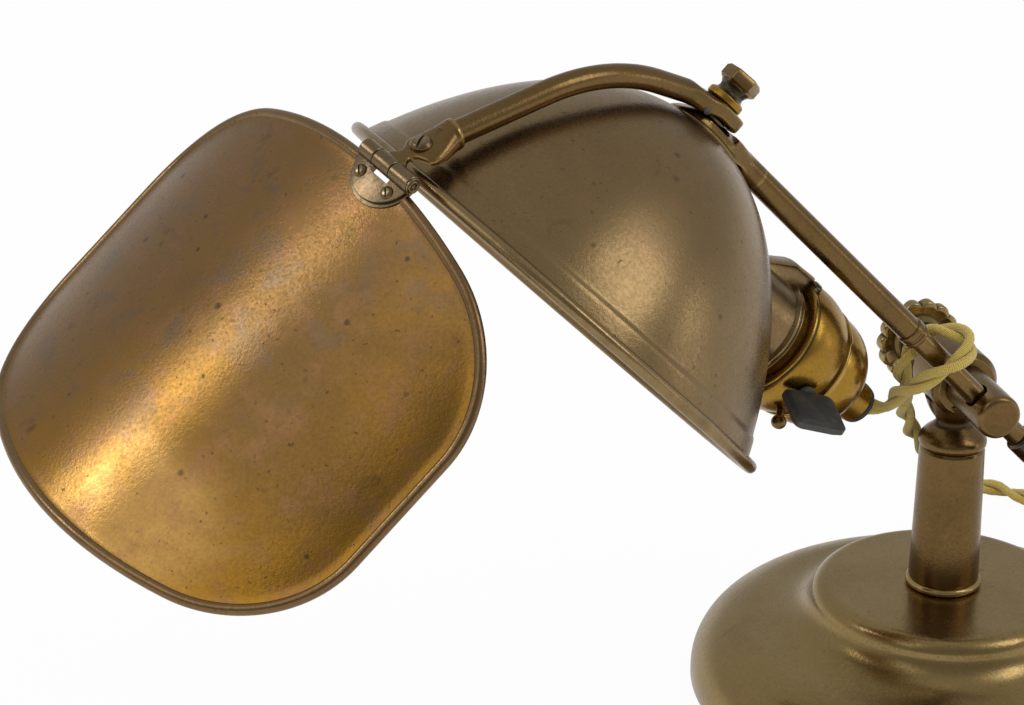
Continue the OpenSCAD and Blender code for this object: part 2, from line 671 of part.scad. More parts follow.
// Shade: conic dome with a rolled rim, open at the fitter
function dome_r(s) = sqrt(2 * crown_radius * s - dome_flat * s * s);
function dome_s(r) = (crown_radius - sqrt(crown_radius * crown_radius - dome_flat * r * r)) / dome_flat;
function dome_slope(s) = (crown_radius - dome_flat * s) / dome_r(s);
function dome_at(s, inset) = let (k = dome_slope(s), h = sqrt(1 + k * k)) [dome_r(s) - inset / h,
  -(s + inset * k / h)];
module shade_shell() {
  steps = 18;
  s0 = dome_s(crown_hole_r);
  s1 = shade_depth - rim_bead_r * 0.6;
  line = [for (i = [0 : steps]) let (t = i / steps) lerp(s0, s1, t * t)];
  color([0.55, 0.46, 0.34]) at_shade() difference() {
    rotate_extrude() polygon(concat(
      [for (s = line) dome_at(s, 0)],
      arc([rim_c, -shade_depth], rim_bead_r, rim_bead_r, 145, -145, 14),
      [dome_at(shade_depth + 0.8, shade_wall)],
      back([for (s = line) if (s > s0 + 0.02) dome_at(s, shade_wall)]),
      [[crown_hole_r, -s0 - shade_wall]]));
    in_shade_socket() translate([0, 0, -fitter_l - 20])
      cylinder(r = fitter_r + free / 2, h = fitter_l + 40);
  }
}
module crown_spacer() {
  color([0.3, 0.25, 0.18]) at_shade() translate([0, 0, tongue_t + seat])
    ring(spacer_d / 2, crown_hole_r, spacer_t - seat);
}
module crown_screw() {
  low = -shade_wall - crown_nut_h - 2;
  color([0.53, 0.43, 0.28]) at_shade() union() {
    rotate_extrude() polygon([
      [0, low], [crown_screw_d / 2, low], [crown_screw_d / 2, collar_z], [collar_d / 2 - 0.5, collar_z],
      [collar_d / 2, collar_z + 0.5], [collar_d / 2 - 0.4, neck_z], [screw_neck_d / 2, neck_z + 0.6],
      [screw_neck_d / 2, head_z], [0, head_z]]);
    translate([0, 0, head_z]) intersection() {
      cylinder(r = screw_head_d / 2, h = screw_head_h, $fn = 6);
      rotate_extrude() polygon([[0, 0], [screw_head_d / 2 - 1, 0], [screw_head_d / 2 + 0.2, 1],
        [screw_head_d / 2 + 0.2, screw_head_h - 1.4],
        [screw_head_d / 2 - 1.4, screw_head_h], [0, screw_head_h]]);
    }
  }
}
module crown_nut() {
  color([0.45, 0.4, 0.3]) at_shade() translate([0, 0, -shade_wall - crown_nut_h - 0.6]) difference() {
    cylinder(r = crown_screw_d * 1.05, h = crown_nut_h, $fn = 6);
    translate([0, 0, -1]) cylinder(r = crown_screw_d / 2 + seat, h = crown_nut_h + 2);
  }
}

// Socket: fitter, shell, cap and tail in one line
module fitter_tube() {
  inner = fitter_r - fitter_wall;
  ring_r = fitter_ring_d / 2;
  color([0.51, 0.41, 0.27]) at_socket() rotate_extrude() polygon([
    [inner, -fitter_l], [fitter_r, -fitter_l], [fitter_r, fitter_ring_at - 2],
      [ring_r - 0.4, fitter_ring_at - 1.4],
    [ring_r, fitter_ring_at - 0.8], [ring_r - 0.4, fitter_ring_at], [fitter_r - 0.3, fitter_ring_at + 0.4],
    [fitter_r - 0.3, shell_front - seat], [inner, shell_front - seat]]);
}
module fitter_clip() {
  low = fitter_r + seat;
  high = fitter_r + clip_rise;
  out = -fitter_ring_at + 3.4;
  color([0.5, 0.41, 0.27]) at_socket() rotate([0, 0, 184]) difference() {
    translate([0, clip_w / 2, 0]) rotate([90, 0, 0]) linear_extrude(clip_w) polygon([
      [low + clip_t, -clip_in], [high, -clip_in + 3], [high, -out - 4], [low + 0.6, -out], [low - 2, -out],
      [low - 2, -out - clip_t], [low, -out - clip_t], [high - clip_t, -out - 4 - clip_t],
        [high - clip_t, -clip_in + 3 + clip_t],
      [low - 2, -clip_in + clip_t], [low - 2, -clip_in]]);
    translate([0, 0, -fitter_l]) cylinder(r = low, h = fitter_l);
    translate([0, clip_w * 0.3, -out - 8]) rotate([0, 90, 0]) cylinder(r = 1.2 + run, h = high + 5);
  }
}
module clip_screw() {
  high = fitter_r + clip_rise + seat;
  out = -fitter_ring_at + 3.4;
  color([0.27, 0.22, 0.15]) at_socket() rotate([0, 0, 184]) translate([0, clip_w * 0.3, -out - 8])
    rotate([0, 90, 0]) rotate_extrude()
    polygon([[0, high - clip_t - 0.6], [1.2, high - clip_t - 0.6], [1.2, high + 0.2], [2.6, high + 0.2],
      [2.6, high + 1.4], [1.8, high + 2.2], [0, high + 2.2]]);
}
module socket_shell() {
  e = shell_edge_d / 2;
  b = shell_d / 2;
  w = socket_wall;
  color([0.62, 0.48, 0.24]) at_socket() difference() {
    rotate_extrude() polygon(concat(
      [[fitter_r - fitter_wall, shell_front], [e - 0.4, shell_front], [e, shell_front + 0.5]],
      bez([[e - 0.3, shell_front + 1.2], [b + 0.2, shell_front + 4], [b + 0.3, shell_back - 6],
        [e - 0.3, shell_back - 1.6]], 10),
      [[e + 0.5, shell_back - 1], [e + 0.5, shell_back - 0.4], [e, shell_back], [e - w - 0.4, shell_back],
       [e - w - 0.4, shell_front + w], [fitter_r - fitter_wall, shell_front + w]]));
    key_in_socket() cylinder(r = key_shaft_d / 2 + run, h = shell_d);
  }
}
module socket_cap() {
  e = shell_edge_d / 2;
  z = shell_back + seat;
  w = socket_wall;
  t = tail_d / 2;
  outer = bez([[e - 0.4, z], [e + 0.4, z + cap_l * 0.55], [e * 0.72, z + cap_l * 0.82],
    [t + 0.8, z + cap_l]], 12);
  color([0.58, 0.45, 0.24]) at_socket() rotate_extrude() polygon(concat(
    outer, [[t, cap_back + 0.6], [t, tail_end], [cord_r + 0.8, tail_end], [cord_r + 0.8, cap_back]],
    back([for (p = outer) if (p[1] < cap_back - 2.5) [max(p[0] - w, cord_r + 0.8), p[1] - 0]])));
}
module socket_core() {
  z = shell_front + socket_wall + 0.4;
  color([0.75, 0.72, 0.66]) at_socket() difference() {
    translate([0, 0, z]) cylinder(r = core_d / 2, h = shell_l + 2);
    key_in_socket() cylinder(r = key_shaft_d / 2 + run, h = shell_d);
  }
}
module socket_bushing() {
  r = tail_d / 2 - 0.5;
  color([0.1, 0.1, 0.1]) at_socket() translate([0, 0, tail_end + seat]) rotate_extrude() polygon([
    [0, 0], [r, 0], [r, bushing_l * 0.5], [r - bushing_l * 0.4, bushing_l], [0, bushing_l]]);
}
module ball_screw() {
  r = shell_d / 2 + 0.1;
  color([0.5, 0.36, 0.22]) at_socket() translate([0, 0, shell_front + shell_l * 0.62])
    rotate([0, 0, 322]) rotate([0, 90, 0]) {
    translate([0, 0, r]) cylinder(r = 1.5, h = 2);
    translate([0, 0, r + 3]) sphere(r = 2.6);
  }
}
module screw_shell() {
  color([0.66, 0.53, 0.3]) at_socket() translate([0, 0, shell_front + socket_wall + 0.4 - screw_shell_l])
    ring(screw_shell_r, screw_shell_r - 0.6, screw_shell_l - seat);
}
module bulb_cap() {
  z = bulb_neck_at;
  back_z = shell_front + socket_wall + 0.4 - 0.2;
  color([0.7, 0.66, 0.55]) at_socket() rotate_extrude() polygon([
    [0, z], [bulb_cap_r, z], [bulb_cap_r, back_z - 6], [5, back_z - 1.6], [4, back_z], [0, back_z]]);
}
module bulb_glass() {
  r = bulb_d / 2;
  n = bulb_cap_r - 0.4;
  z = bulb_neck_at - seat;
  w = 0.8;
  far = -bulb_in;
  line = concat(bez([[n, z], [n, z - 16], [r, far + r * 0.9], [r, far]], 12),
    arc([0, far], r, r, -6, -90, 12));
  color([0.9, 0.88, 0.8, 0.6]) at_socket() rotate_extrude() polygon(concat(
    line, back([for (p = line) let (q = norm(p - [0, far]), k = (q - w) / q) p[1] > far +
      2 ? [p[0] - w, p[1]] : [p[0] * k, far + (p[1] - far) * k]])));
}
module turn_key() {
  root = shell_edge_d / 2 - 3;
  start = shell_d / 2 + 1.6;
  color([0.12, 0.12, 0.12]) at_socket() key_in_socket() rotate([0, 0, key_turn]) {
    translate([0, 0, root]) cylinder(r = key_shaft_d / 2, h = start - root + 2);
    difference() {
      translate([-key_t / 2, -key_w / 2, start]) cube([key_t, key_w, key_l]);
      for (i = [-1, 1]) {
        translate([0, i * key_w / 2, start]) rotate([45, 0, 0]) cube([key_t + 2, 5, 5], center = true);
        translate([0, i * key_w / 2, start + key_l]) rotate([45, 0, 0])
          cube([key_t + 2, 4, 4], center = true);
      }
    }
  }
}

// Visor arm: a flattened eye on the crown screw, then a straight, a bend and a straight down to the hinge
module arm_boss() {
  color([0.5, 0.4, 0.26]) at_visor_arm() difference() {
    union() {
      translate([0, 0, boss_bottom]) cylinder(r = boss_d / 2, h = boss_h);
      hull() {
        translate([spacer_d / 2 + 0.2, -arch_d / 2, boss_bottom])
          cube([boss_d / 2 - spacer_d / 2 - 0.4, arch_d, boss_h]);
        translate([arch_x, 0, arch_z]) rotate([0, 90 + arch_slope, 0]) translate([0, 0, eye_l - 1])
          cylinder(r = arch_d / 2, h = 1 - seat, $fn = 32);
      }
    }
    translate([0, 0, boss_bottom - 1]) cylinder(r = crown_screw_d / 2 + run, h = boss_h + 2);
    translate([0, 0, boss_top]) cylinder(r = collar_d / 2 + 1, h = 10);
  }
}
function arch_point(a) = [arch_x + arch_first * cos(arch_slope) + arch_bend * (sin(a) - sin(arch_slope)), 0,
  arch_z - arch_first * sin(arch_slope) + arch_bend * (cos(a) - cos(arch_slope))];
module visor_arm() {
  steps = 12;
  path = concat(
    [[arch_x + eye_l * cos(arch_slope), 0, arch_z - eye_l * sin(arch_slope)]],
    [for (i = [0 : steps]) arch_point(lerp(arch_slope, arch_drop, i / steps))],
    [[hinge_x - strap_l * cos(arch_drop), 0, hinge_z + strap_l * sin(arch_drop)]]);
  color([0.5, 0.4, 0.26]) at_visor_arm() swept(past(path), arch_d / 2, 20);
}
module arm_ferrule() {
  r = (arch_d + ferrule_over) / 2;
  a = arch_d / 2 + seat;
  color([0.53, 0.43, 0.28]) at_arch_last() translate([0, 0, arch_end - ferrule_l]) rotate_extrude()
    polygon([
    [a, 0], [r - 0.6, 0], [r, 0.6], [r, ferrule_l * 0.45], [r - 0.5, ferrule_l * 0.5],
      [r - 0.5, ferrule_l + 1], [0, ferrule_l + 1],
    [0, ferrule_l + seat], [a, ferrule_l + seat]]);
}
module hinge_strap() {
  start = arch_end + 1 + seat;
  w = arch_d + ferrule_over - 1.4;
  color([0.5, 0.4, 0.26]) difference() {
    union() {
      at_arch_last() translate([-strap_t / 2, -w / 2, start]) cube([strap_t, w, strap_l - hinge_r - 2.4]);
      at_arch_last() translate([-strap_t / 2, -middle_l / 2 + 0.4, start + 4])
        cube([strap_t, middle_l - 0.8, strap_l - 5]);
      at_hinge() rotate([90, 0, 0]) cylinder(r = hinge_r, h = middle_l, center = true);
    }
    at_hinge() rotate([90, 0, 0]) cylinder(r = hinge_pin_d / 2 + seat, h = hinge_l, center = true);
    at_arch_last() translate([0, 0, arch_end + 7]) rotate([0, 90, 0])
      cylinder(r = 1.2 + seat, h = 20, center = true);
  }
}
module strap_screw() {
  h = strap_t / 2 + seat;
  color([0.46, 0.37, 0.24]) at_arch_last() translate([0, 0, arch_end + 7]) rotate([0, -90, 0])
    rotate_extrude() polygon([
    [0, -strap_t / 2], [1.2, -strap_t / 2], [1.2, h], [3, h], [3, h + 1], [2.3, h + 1.9], [1, h + 2.3],
      [0, h + 2.3]]);
}
module hinge_pin() {
  l = hinge_l / 2 + knuckle_gap;
  p = hinge_pin_d / 2;
  b = hinge_r - 0.3;
  color([0.55, 0.45, 0.3]) at_hinge() rotate([90, 0, 0]) rotate_extrude() polygon([
    [0, -l - 1.8], [b - 1, -l - 1.8], [b, -l - 1], [b, -l], [p, -l], [p, l], [b, l], [b, l + 1],
      [b - 1, l + 1.8], [0, l + 1.8]]);
}
module hinge_leaf() {
  round_r = leaf_w / 2;
  color([0.5, 0.4, 0.26]) at_visor() difference() {
    union() {
      for (s = [-1, 1]) translate([0, s * (middle_l / 2 + knuckle_gap + side_l / 2), 0]) rotate([90, 0, 0])
        cylinder(r = hinge_r, h = side_l, center = true);
      translate([leaf_in, 0, 0]) rotate([90, 0, 90]) linear_extrude(leaf_t) intersection() {
        translate([-leaf_w / 2, -leaf_l]) square([leaf_w, leaf_l]);
        translate([0, round_r - leaf_l]) union() {
          circle(r = round_r);
          translate([-leaf_w / 2, 0]) square([leaf_w, leaf_l]);
        }
      }
    }
    rotate([90, 0, 0]) cylinder(r = hinge_pin_d / 2 + run, h = hinge_l + 2, center = true);
    translate([-hinge_d, -middle_l / 2 - knuckle_gap, -hinge_r - 1.6])
      cube([2 * hinge_d, middle_l + 2 * knuckle_gap, 2 * hinge_d]);
  }
}
module leaf_screws() {
  h = leaf_in + leaf_t + seat;
  color([0.46, 0.37, 0.24]) at_visor() for (s = [-1, 1])
    translate([h, s * leaf_w * 0.26, -leaf_l * 0.5]) rotate([0, 90, 0])
    rotate_extrude() polygon([[0, 0], [2, 0], [1.9, 0.7], [1.2, 1.1], [0, 1.2]]);
}

// Visor outline: two arcs, two straight sides and round corners, drawn in from the edge by an inset
function corner_h(r) = sqrt(pow(r - visor_corner, 2) - pow(half_w - visor_corner, 2));
function visor_line(inset, n) = let (
    c1 = [0, -visor_start - end_r1], c2 = [0, -visor_start - visor_l + end_r2], x = half_w - visor_corner,
    f1 = c1[1] + corner_h(end_r1), f2 = c2[1] - corner_h(end_r2), r = visor_corner - inset,
    a1 = atan2(corner_h(end_r1), x), a2 = atan2(corner_h(end_r2), x))
  flat([
    arc(c1, end_r1 - inset, end_r1 - inset, 180 - a1, a1, 2 * n),
    [for (p = arc([x, f1], r, r, a1, 0, n)) if (p[1] < f1 + r * sin(a1) - 0.1) p],
    arc([x, f2], r, r, 0, -a2, n),
    [for (p = arc(c2, end_r2 - inset, end_r2 - inset, -a2, a2 - 180,
      2 * n)) if (abs(p[0]) < (end_r2 - inset) * cos(a2) - 0.1) p],
    arc([-x, f2], r, r, a2 - 180, -180, n),
    [for (p = arc([-x, f1], r, r, 180, 180 - a1, n)) if (p[1] < f1 + r * sin(a1) - 0.1) p]]);
module visor_plate() {
  color([0.54, 0.46, 0.33]) difference() {
    at_visor_sheet() intersection() {
      translate([-visor_radius, 0, -visor_l - 20]) difference() {
        cylinder(r = visor_radius, h = visor_l + 40, $fn = 180);
        translate([0, 0, -1]) cylinder(r = visor_radius - visor_t, h = visor_l + 42, $fn = 180);
      }
      translate([-visor_radius / 2, 0, 0]) rotate([90, 0, 90]) linear_extrude(visor_radius)
        polygon(visor_line(visor_edge_d, 10));
    }
    at_visor() translate([-20, -leaf_w / 2 - 1, -visor_notch]) cube([40, leaf_w + 2, 20]);
  }
}
function on_sheet(p) = let (r = visor_radius - visor_t / 2) [sqrt(r * r - p[0] * p[0]) - visor_radius,
  p[0], p[1]];
module visor_edge() {
  sides = 8;
  line = visor_line(edge_r, 9);
  n = len(line);
  p = [for (q = line) on_sheet(q)];
  rings = [for (i = [0 : n - 1]) let (t = unit(p[(i + 1) % n] - p[(i + n - 1) % n]),
      o = carry([p[i][0] + visor_radius, p[i][1], 0], t), s = cross(t, o))
    for (k = [0 : sides - 1]) let (a = 360 * k / sides) p[i] + (edge_r - 0.01) * (cos(a) * o + sin(a) * s)];
  tris = [for (i = [0 : n - 1]) for (k = [0 : sides - 1])
    let (a = i * sides + k, b = i * sides + (k + 1) % sides,
      c = ((i + 1) % n) * sides + k, d = ((i + 1) % n) * sides + (k + 1) % sides)
        each [[a, b, d], [a, d, c]]];
  color([0.56, 0.47, 0.33]) difference() {
    at_visor_sheet() polyhedron(rings, tris);
    at_visor() translate([-20, -leaf_w / 2 - 1, -visor_notch - 2 * visor_edge_d])
      cube([40, leaf_w + 2, 20]);
  }
}

// Coil: two layers, spiralling in below and out above, with the climb in the half turn where it reverses
coil_n = coil_turns * coil_steps;
coil_half = coil_steps / 2;
function coil_point(a, r, h) = [coil_at[0] + r * sin(a), coil_at[1] - r * cos(a), coil_z + h];
function coil_down(i) = coil_point(360 * i / coil_steps, coil_outer - coil_pitch * i / coil_steps, 0);
function coil_climb(i) = coil_point(360 * (coil_n + i) / coil_steps,
  coil_inner - coil_pitch * min(i, coil_half - i) / coil_steps,
    coil_lift * (1 - cos(180 * i / coil_half)) / 2);
function coil_up(i) = coil_point(360 * (coil_n + coil_half + i) / coil_steps, coil_inner +
  coil_pitch * i / coil_steps, coil_lift);
coil_turn_path = concat([for (i = [0 : coil_n]) coil_down(i)], [for (i = [1 : coil_half]) coil_climb(i)],
  [for (i = [1 : coil_n - coil_half / 2]) coil_up(i)]);
coil_start = coil_turn_path[0] - [cord_d, 0, 0];
coil_end = coil_turn_path[len(coil_turn_path) - 1] + [0, cord_d, 0];
coil_path = past(concat([coil_start], coil_turn_path, [coil_end]));
coil_gap = min([for (i = [1 : len(coil_path) - 2]) for (k = [i + coil_half : 1 : len(coil_path) - 2])
  norm(coil_path[i] - coil_path[k])]) - cord_d;
plug_at = coil_end + [0, plug_gap, plug_d / 2 - coil_z - coil_lift];
end_path = past(smooth([coil_end, coil_end + [0, 8, 0.3], (coil_end + plug_at) / 2, plug_at - [0, 8, 0.3],
  plug_at], 2));

// Cord: from the socket once round the rod, then down behind the stem and along the table to its coil
function turned(v, a) = [v[0] * cos(a) - v[1] * sin(a), v[0] * sin(a) + v[1] * cos(a), v[2]];
function arm_point(x, y, z) = let (k = 90 - arm_rise,
  q = [x * cos(k) - z * sin(k), y - eye_reach, x * sin(k) + z * cos(k)])
  turned(q, swivel_turn) + [0, 0, barrel_z];
function head_point(v) = let (q = [v[0] * cos(head_roll) - v[1] * sin(head_roll), v[0] * sin(head_roll) +
  v[1] * cos(head_roll)])
  arm_point(q[0], q[1], v[2]);
function crown_point(v) = let (b = tongue_bend, x = v[0] * cos(b) + v[2] * sin(b), z = -v[0] * sin(b) +
  v[2] * cos(b))
  head_point([z - crown_rise, -v[1], x + arm_reach]);
function socket_point(v) = let (t = socket_tilt,
  p = [socket_radius + v[0] * sin(t) + v[2] * cos(t), v[1],
    socket_height - shade_depth - v[0] * cos(t) + v[2] * sin(t)])
  crown_point(turned(p, 180 + socket_turn));
function lead_point(k) = let (out = k * cos(lead_tilt), side = cord_r * 0.9 + k * sin(lead_tilt))
  socket_point([side * cos(lead_round), side * sin(lead_round),
    tail_end + bushing_l + cord_r * sin(lead_tilt) + 0.15 + out]);
lead_points = concat([lead_point(0), lead_point(2.5)], lead_route);
run_points = concat(run_route, [coil_start - [8, 0, 0], coil_start]);
cord_line = smooth(concat([lead_point(-2.5)], lead_points, drop_route, run_points,
  [coil_start + [cord_d, 0, 0]]), 2);
lead_last = 2 * len(lead_points);
drop_last = lead_last + 2 * len(drop_route) + 2;
function between(a, b, gap) = let (v = cord_line[a + 1] - cord_line[a])
  concat([cord_line[a - 1], cord_line[a] + gap * unit(v)], [for (i = [a + 1 : b + 1]) cord_line[i]]);
lead_path = between(2, lead_last, 0);
drop_path = between(lead_last, drop_last, free);
run_path = between(drop_last, len(cord_line) - 3, seat);
module cord(p) { color([0.68, 0.58, 0.25]) swept(p, cord_r, cord_sides); }
module cord_lead() { cord(lead_path); }
module cord_drop() { cord(drop_path); }
module cord_run() { cord(run_path); }
module cord_end() { cord(end_path); }
module cord_coil() {
  echo(coil_gap = coil_gap, lengths = [for (p = [lead_path, drop_path, run_path, coil_path, end_path])
    length(p)]);
  color([0.68, 0.58, 0.25]) swept(coil_path, cord_r, 6);
}
function length(p) = sum([for (i = [2 : len(p) - 2]) norm(p[i] - p[i - 1])]);
function sum(v, i = 0, s = 0) = i == len(v) ? s : sum(v, i + 1, s + v[i]);
module plug_body() {
  color([0.12, 0.12, 0.12]) translate(plug_at) rotate([-90, 0, 0]) rotate_extrude() polygon([
    [0, seat], [cord_r + 1, seat], [cord_r + 2, 6], [plug_d / 2, 14], [plug_d / 2, plug_l - 1],
      [plug_d / 2 - 1, plug_l], [0, plug_l]]);
}
module plug_blades() {
  color([0.7, 0.6, 0.35]) for (s = [-1, 1]) translate(plug_at + [s * 6.35 - 0.75, plug_l + seat, -3.2])
    cube([1.5, 16, 6.4]);
}

felt_pad();
base_weight();
base_shell();
stem_bead();
stem_tube();
stem_bush();
tie_tube();
base_nut();
knuckle();
swivel_pin();
swivel_nut();
clamp_sleeve();
draw_bolt();
clamp_washer();
thumb_wheel();
arm_rod();
rod_stop();
arm_tube();
tube_ring();
arm_tongue();
shade_shell();
crown_spacer();
crown_screw();
crown_nut();
fitter_tube();
fitter_clip();
clip_screw();
socket_shell();
socket_cap();
socket_core();
socket_bushing();
ball_screw();
screw_shell();
bulb_cap();
bulb_glass();
turn_key();
arm_boss();
visor_arm();
arm_ferrule();
hinge_strap();
strap_screw();
hinge_pin();
hinge_leaf();
leaf_screws();
visor_plate();
visor_edge();
cord_lead();
cord_drop();
cord_run();
cord_coil();
cord_end();
plug_body();
plug_blades();
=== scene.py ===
# %% [markdown]
# This lesson dresses an old adjustable desk lamp of aged brass: a heavy round base, a stem with a swivel knuckle,
# a rod held in a clamp, a domed shade, a lamp socket with a turn key, and a curved visor on a hinge.
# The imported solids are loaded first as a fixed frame. Each later step makes one part of the lamp look real.
# Lengths are written in millimetres, as a maker would, and become metres when a mesh is made.

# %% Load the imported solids
import json
import math

import bmesh
import bpy
from mathutils import Matrix, Vector

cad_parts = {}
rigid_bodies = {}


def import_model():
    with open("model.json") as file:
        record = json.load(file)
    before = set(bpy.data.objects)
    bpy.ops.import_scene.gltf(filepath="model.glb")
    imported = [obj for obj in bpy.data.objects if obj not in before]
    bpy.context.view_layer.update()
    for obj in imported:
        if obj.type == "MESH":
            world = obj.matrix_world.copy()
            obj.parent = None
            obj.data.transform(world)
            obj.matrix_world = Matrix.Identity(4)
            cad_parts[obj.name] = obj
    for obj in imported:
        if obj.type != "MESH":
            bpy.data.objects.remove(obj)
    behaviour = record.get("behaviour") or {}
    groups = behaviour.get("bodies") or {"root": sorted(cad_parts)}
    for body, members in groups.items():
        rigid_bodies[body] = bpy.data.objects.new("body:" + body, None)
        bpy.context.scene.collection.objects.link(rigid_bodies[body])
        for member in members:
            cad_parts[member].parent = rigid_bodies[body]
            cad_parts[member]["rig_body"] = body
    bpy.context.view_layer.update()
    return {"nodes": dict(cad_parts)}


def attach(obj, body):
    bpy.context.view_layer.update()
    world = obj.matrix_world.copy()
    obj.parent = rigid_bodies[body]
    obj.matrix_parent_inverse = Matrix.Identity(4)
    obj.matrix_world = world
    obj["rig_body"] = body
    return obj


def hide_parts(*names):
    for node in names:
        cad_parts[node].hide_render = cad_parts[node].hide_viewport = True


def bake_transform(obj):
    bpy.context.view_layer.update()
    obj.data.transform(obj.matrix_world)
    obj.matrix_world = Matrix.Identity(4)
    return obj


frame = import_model()
scene = bpy.context.scene
MM = 0.001


def linked(name, data):
    obj = bpy.data.objects.new(name, data)
    scene.collection.objects.link(obj)
    return obj


# %% [markdown]
# The camera stands in front of the lamp, a little to the left, and looks down at it. Its height, tilt and lens were
# found by fitting known circles, such as the shade's rim and the base, to the photograph's outlines.

# %% Camera
photo_size = (1024, 705)
camera = linked("camera", bpy.data.cameras.new("camera"))
camera.data.lens = 94.92
camera.data.sensor_width = 36
camera.data.clip_start = 0.05
camera.location = (-0.1538, -0.8578, 0.489)
camera.rotation_euler = (math.radians(67.3), 0, 0)
scene.camera = camera
scene.view_settings.view_transform = "Standard"
print("camera", tuple(round(v, 3) for v in camera.location), "for", photo_size)

# %% [markdown]
# A jointed lamp is easiest to build in the frames of its own joints. Each frame below is the one before it, moved and
# turned: the knuckle on the stem, the arm through the clamp, the shade on the arm, the socket and the visor on the
# shade. A piece is then drawn straight, as on a lathe, and its frame puts it in place.


# %% Frames of the joints
def turn(axis, degrees):
    return Matrix.Rotation(math.radians(degrees), 4, axis)


def shift(x, y, z):
    return Matrix.Translation((x, y, z))


KNUCKLE_Z, KNUCKLE_TURN = 121, 14.4
HINGE_X, HINGE_Z = 91.5, -74.2
BEND = 157
KNUCKLE = shift(0, 0, KNUCKLE_Z) @ turn("Z", KNUCKLE_TURN)
CLAMP = KNUCKLE @ turn("X", 90)
ARM = KNUCKLE @ shift(0, -26, 0) @ turn("Y", -44)
HEAD = ARM @ turn("Z", 6.3)
SHADE = HEAD @ shift(-0.3, 0, 149.5) @ turn(Vector((1, 0, 1)).normalized(), 180) @ turn("Y", 1)
SOCKET = SHADE @ turn("Z", 190) @ shift(80, 0, -33) @ turn("Y", 86)
KEY = SOCKET @ shift(0, 0, 5) @ turn("Z", 290) @ turn("Y", 90) @ turn("Z", -66)
VISOR_ARM = SHADE @ turn("Z", 21.9)
HINGE = VISOR_ARM @ shift(HINGE_X, 0, HINGE_Z) @ turn("Z", 7)
VISOR = HINGE @ turn("Y", -2.9)
SHEET = VISOR @ shift(-2.22 - BEND, 0, 0) @ turn("Z", -math.degrees(math.asin(10.5 / BEND))) @ shift(BEND, 0, 0)
print("hinge at", [round(v, 1) for v in HINGE.translation])

# %% [markdown]
# Three ways of drawing cover most of the lamp. A turned piece is a profile spun round an axis, as on a lathe, and its
# corners get small fillets, because no real edge is perfectly sharp. A lofted piece is a skin over a row of sections.
# A cut takes one closed form out of another.


# %% Drawing helpers
def mix(a, b, t):
    return a + (b - a) * t


def held(t):
    return max(0.0, min(1.0, t))


def ease(t):
    t = held(t)
    return t * t * (3 - 2 * t)


def polar(r, degrees, *rest):
    a = math.radians(degrees)
    return (r * math.cos(a), r * math.sin(a), *rest)


def rounded(corners, steps=5):
    line = []
    last = len(corners) - 1
    for i, corner in enumerate(corners):
        at = Vector(corner[:2])
        if len(corner) < 3 or i in (0, last):
            line.append(at)
            continue
        a = Vector(corners[i - 1][:2]) - at
        b = Vector(corners[i + 1][:2]) - at
        half = a.angle(b) / 2
        if half > 1.55:
            line.append(at)
            continue
        reach = min(corner[2] / math.tan(half), a.length * 0.49, b.length * 0.49)
        a, b = a.normalized(), b.normalized()
        centre = at + (a + b).normalized() * (reach / math.cos(half))
        u, w = at + a * reach - centre, at + b * reach - centre
        whole = u.angle(w)
        for k in range(steps + 1):
            t = k / steps
            line.append(centre + (u * math.sin((1 - t) * whole) + w * math.sin(t * whole)) / math.sin(whole))
    return line


def curve(a, b, c, d, steps=12):
    a, b, c, d = (Vector(p) for p in (a, b, c, d))
    line = []
    for k in range(steps + 1):
        t = k / steps
        s = 1 - t
        line.append(a * s**3 + b * 3 * s * s * t + c * 3 * s * t * t + d * t**3)
    return line


def arc(centre, rx, ry, start, end, steps=12):
    turns = [math.radians(mix(start, end, k / steps)) for k in range(steps + 1)]
    return [Vector((centre[0] + rx * math.cos(a), centre[1] + ry * math.sin(a))) for a in turns]


def band_of(low, high):
    n = len(low)
    quads = [[low[k], low[(k + 1) % n], high[(k + 1) % n], high[k]] for k in range(n)]
    return [face for face in (list(dict.fromkeys(quad)) for quad in quads) if len(face) > 2]


def turned(profile, sides=96, closed=False):
    points, rows, faces = [], [], []
    for r, z in profile:
        if r < 1e-6:
            rows.append([len(points)] * sides)
            points.append(Vector((0, 0, z)))
        else:
            rows.append(list(range(len(points), len(points) + sides)))
            points += [Vector(polar(r, 360 * k / sides, z)) for k in range(sides)]
    for low, high in zip(rows, rows[1:] + ([rows[0]] if closed else [])):
        faces += band_of(low, high)
    return points, faces


def lofted(sections, capped=True):
    n = len(sections[0])
    rows = [list(range(i * n, i * n + n)) for i in range(len(sections))]
    faces = [face for low, high in zip(rows, rows[1:]) for face in band_of(low, high)]
    faces += [rows[0][::-1], rows[-1]] if capped else band_of(rows[0], rows[-1])
    return [Vector(p) for section in sections for p in section], faces


def prism(outline, depth):
    return lofted([[(p[0], p[1], z) for p in outline] for z in (-depth / 2, depth / 2)])


def joined(*shapes):
    points, faces = [], []
    for more, sides in shapes:
        faces += [[i + len(points) for i in face] for face in sides]
        points += [Vector(p) for p in more]
    return points, faces


def placed(shape, place):
    return [place @ Vector(p) for p in shape[0]], shape[1]


def as_mesh(shape, name="form"):
    mesh = bpy.data.meshes.new(name)
    mesh.from_pydata([Vector(p) * MM for p in shape[0]], [], shape[1])
    form = bmesh.new()
    form.from_mesh(mesh)
    bmesh.ops.remove_doubles(form, verts=form.verts, dist=2e-6)
    bmesh.ops.recalc_face_normals(form, faces=form.faces)
    form.to_mesh(mesh)
    form.free()
    return mesh


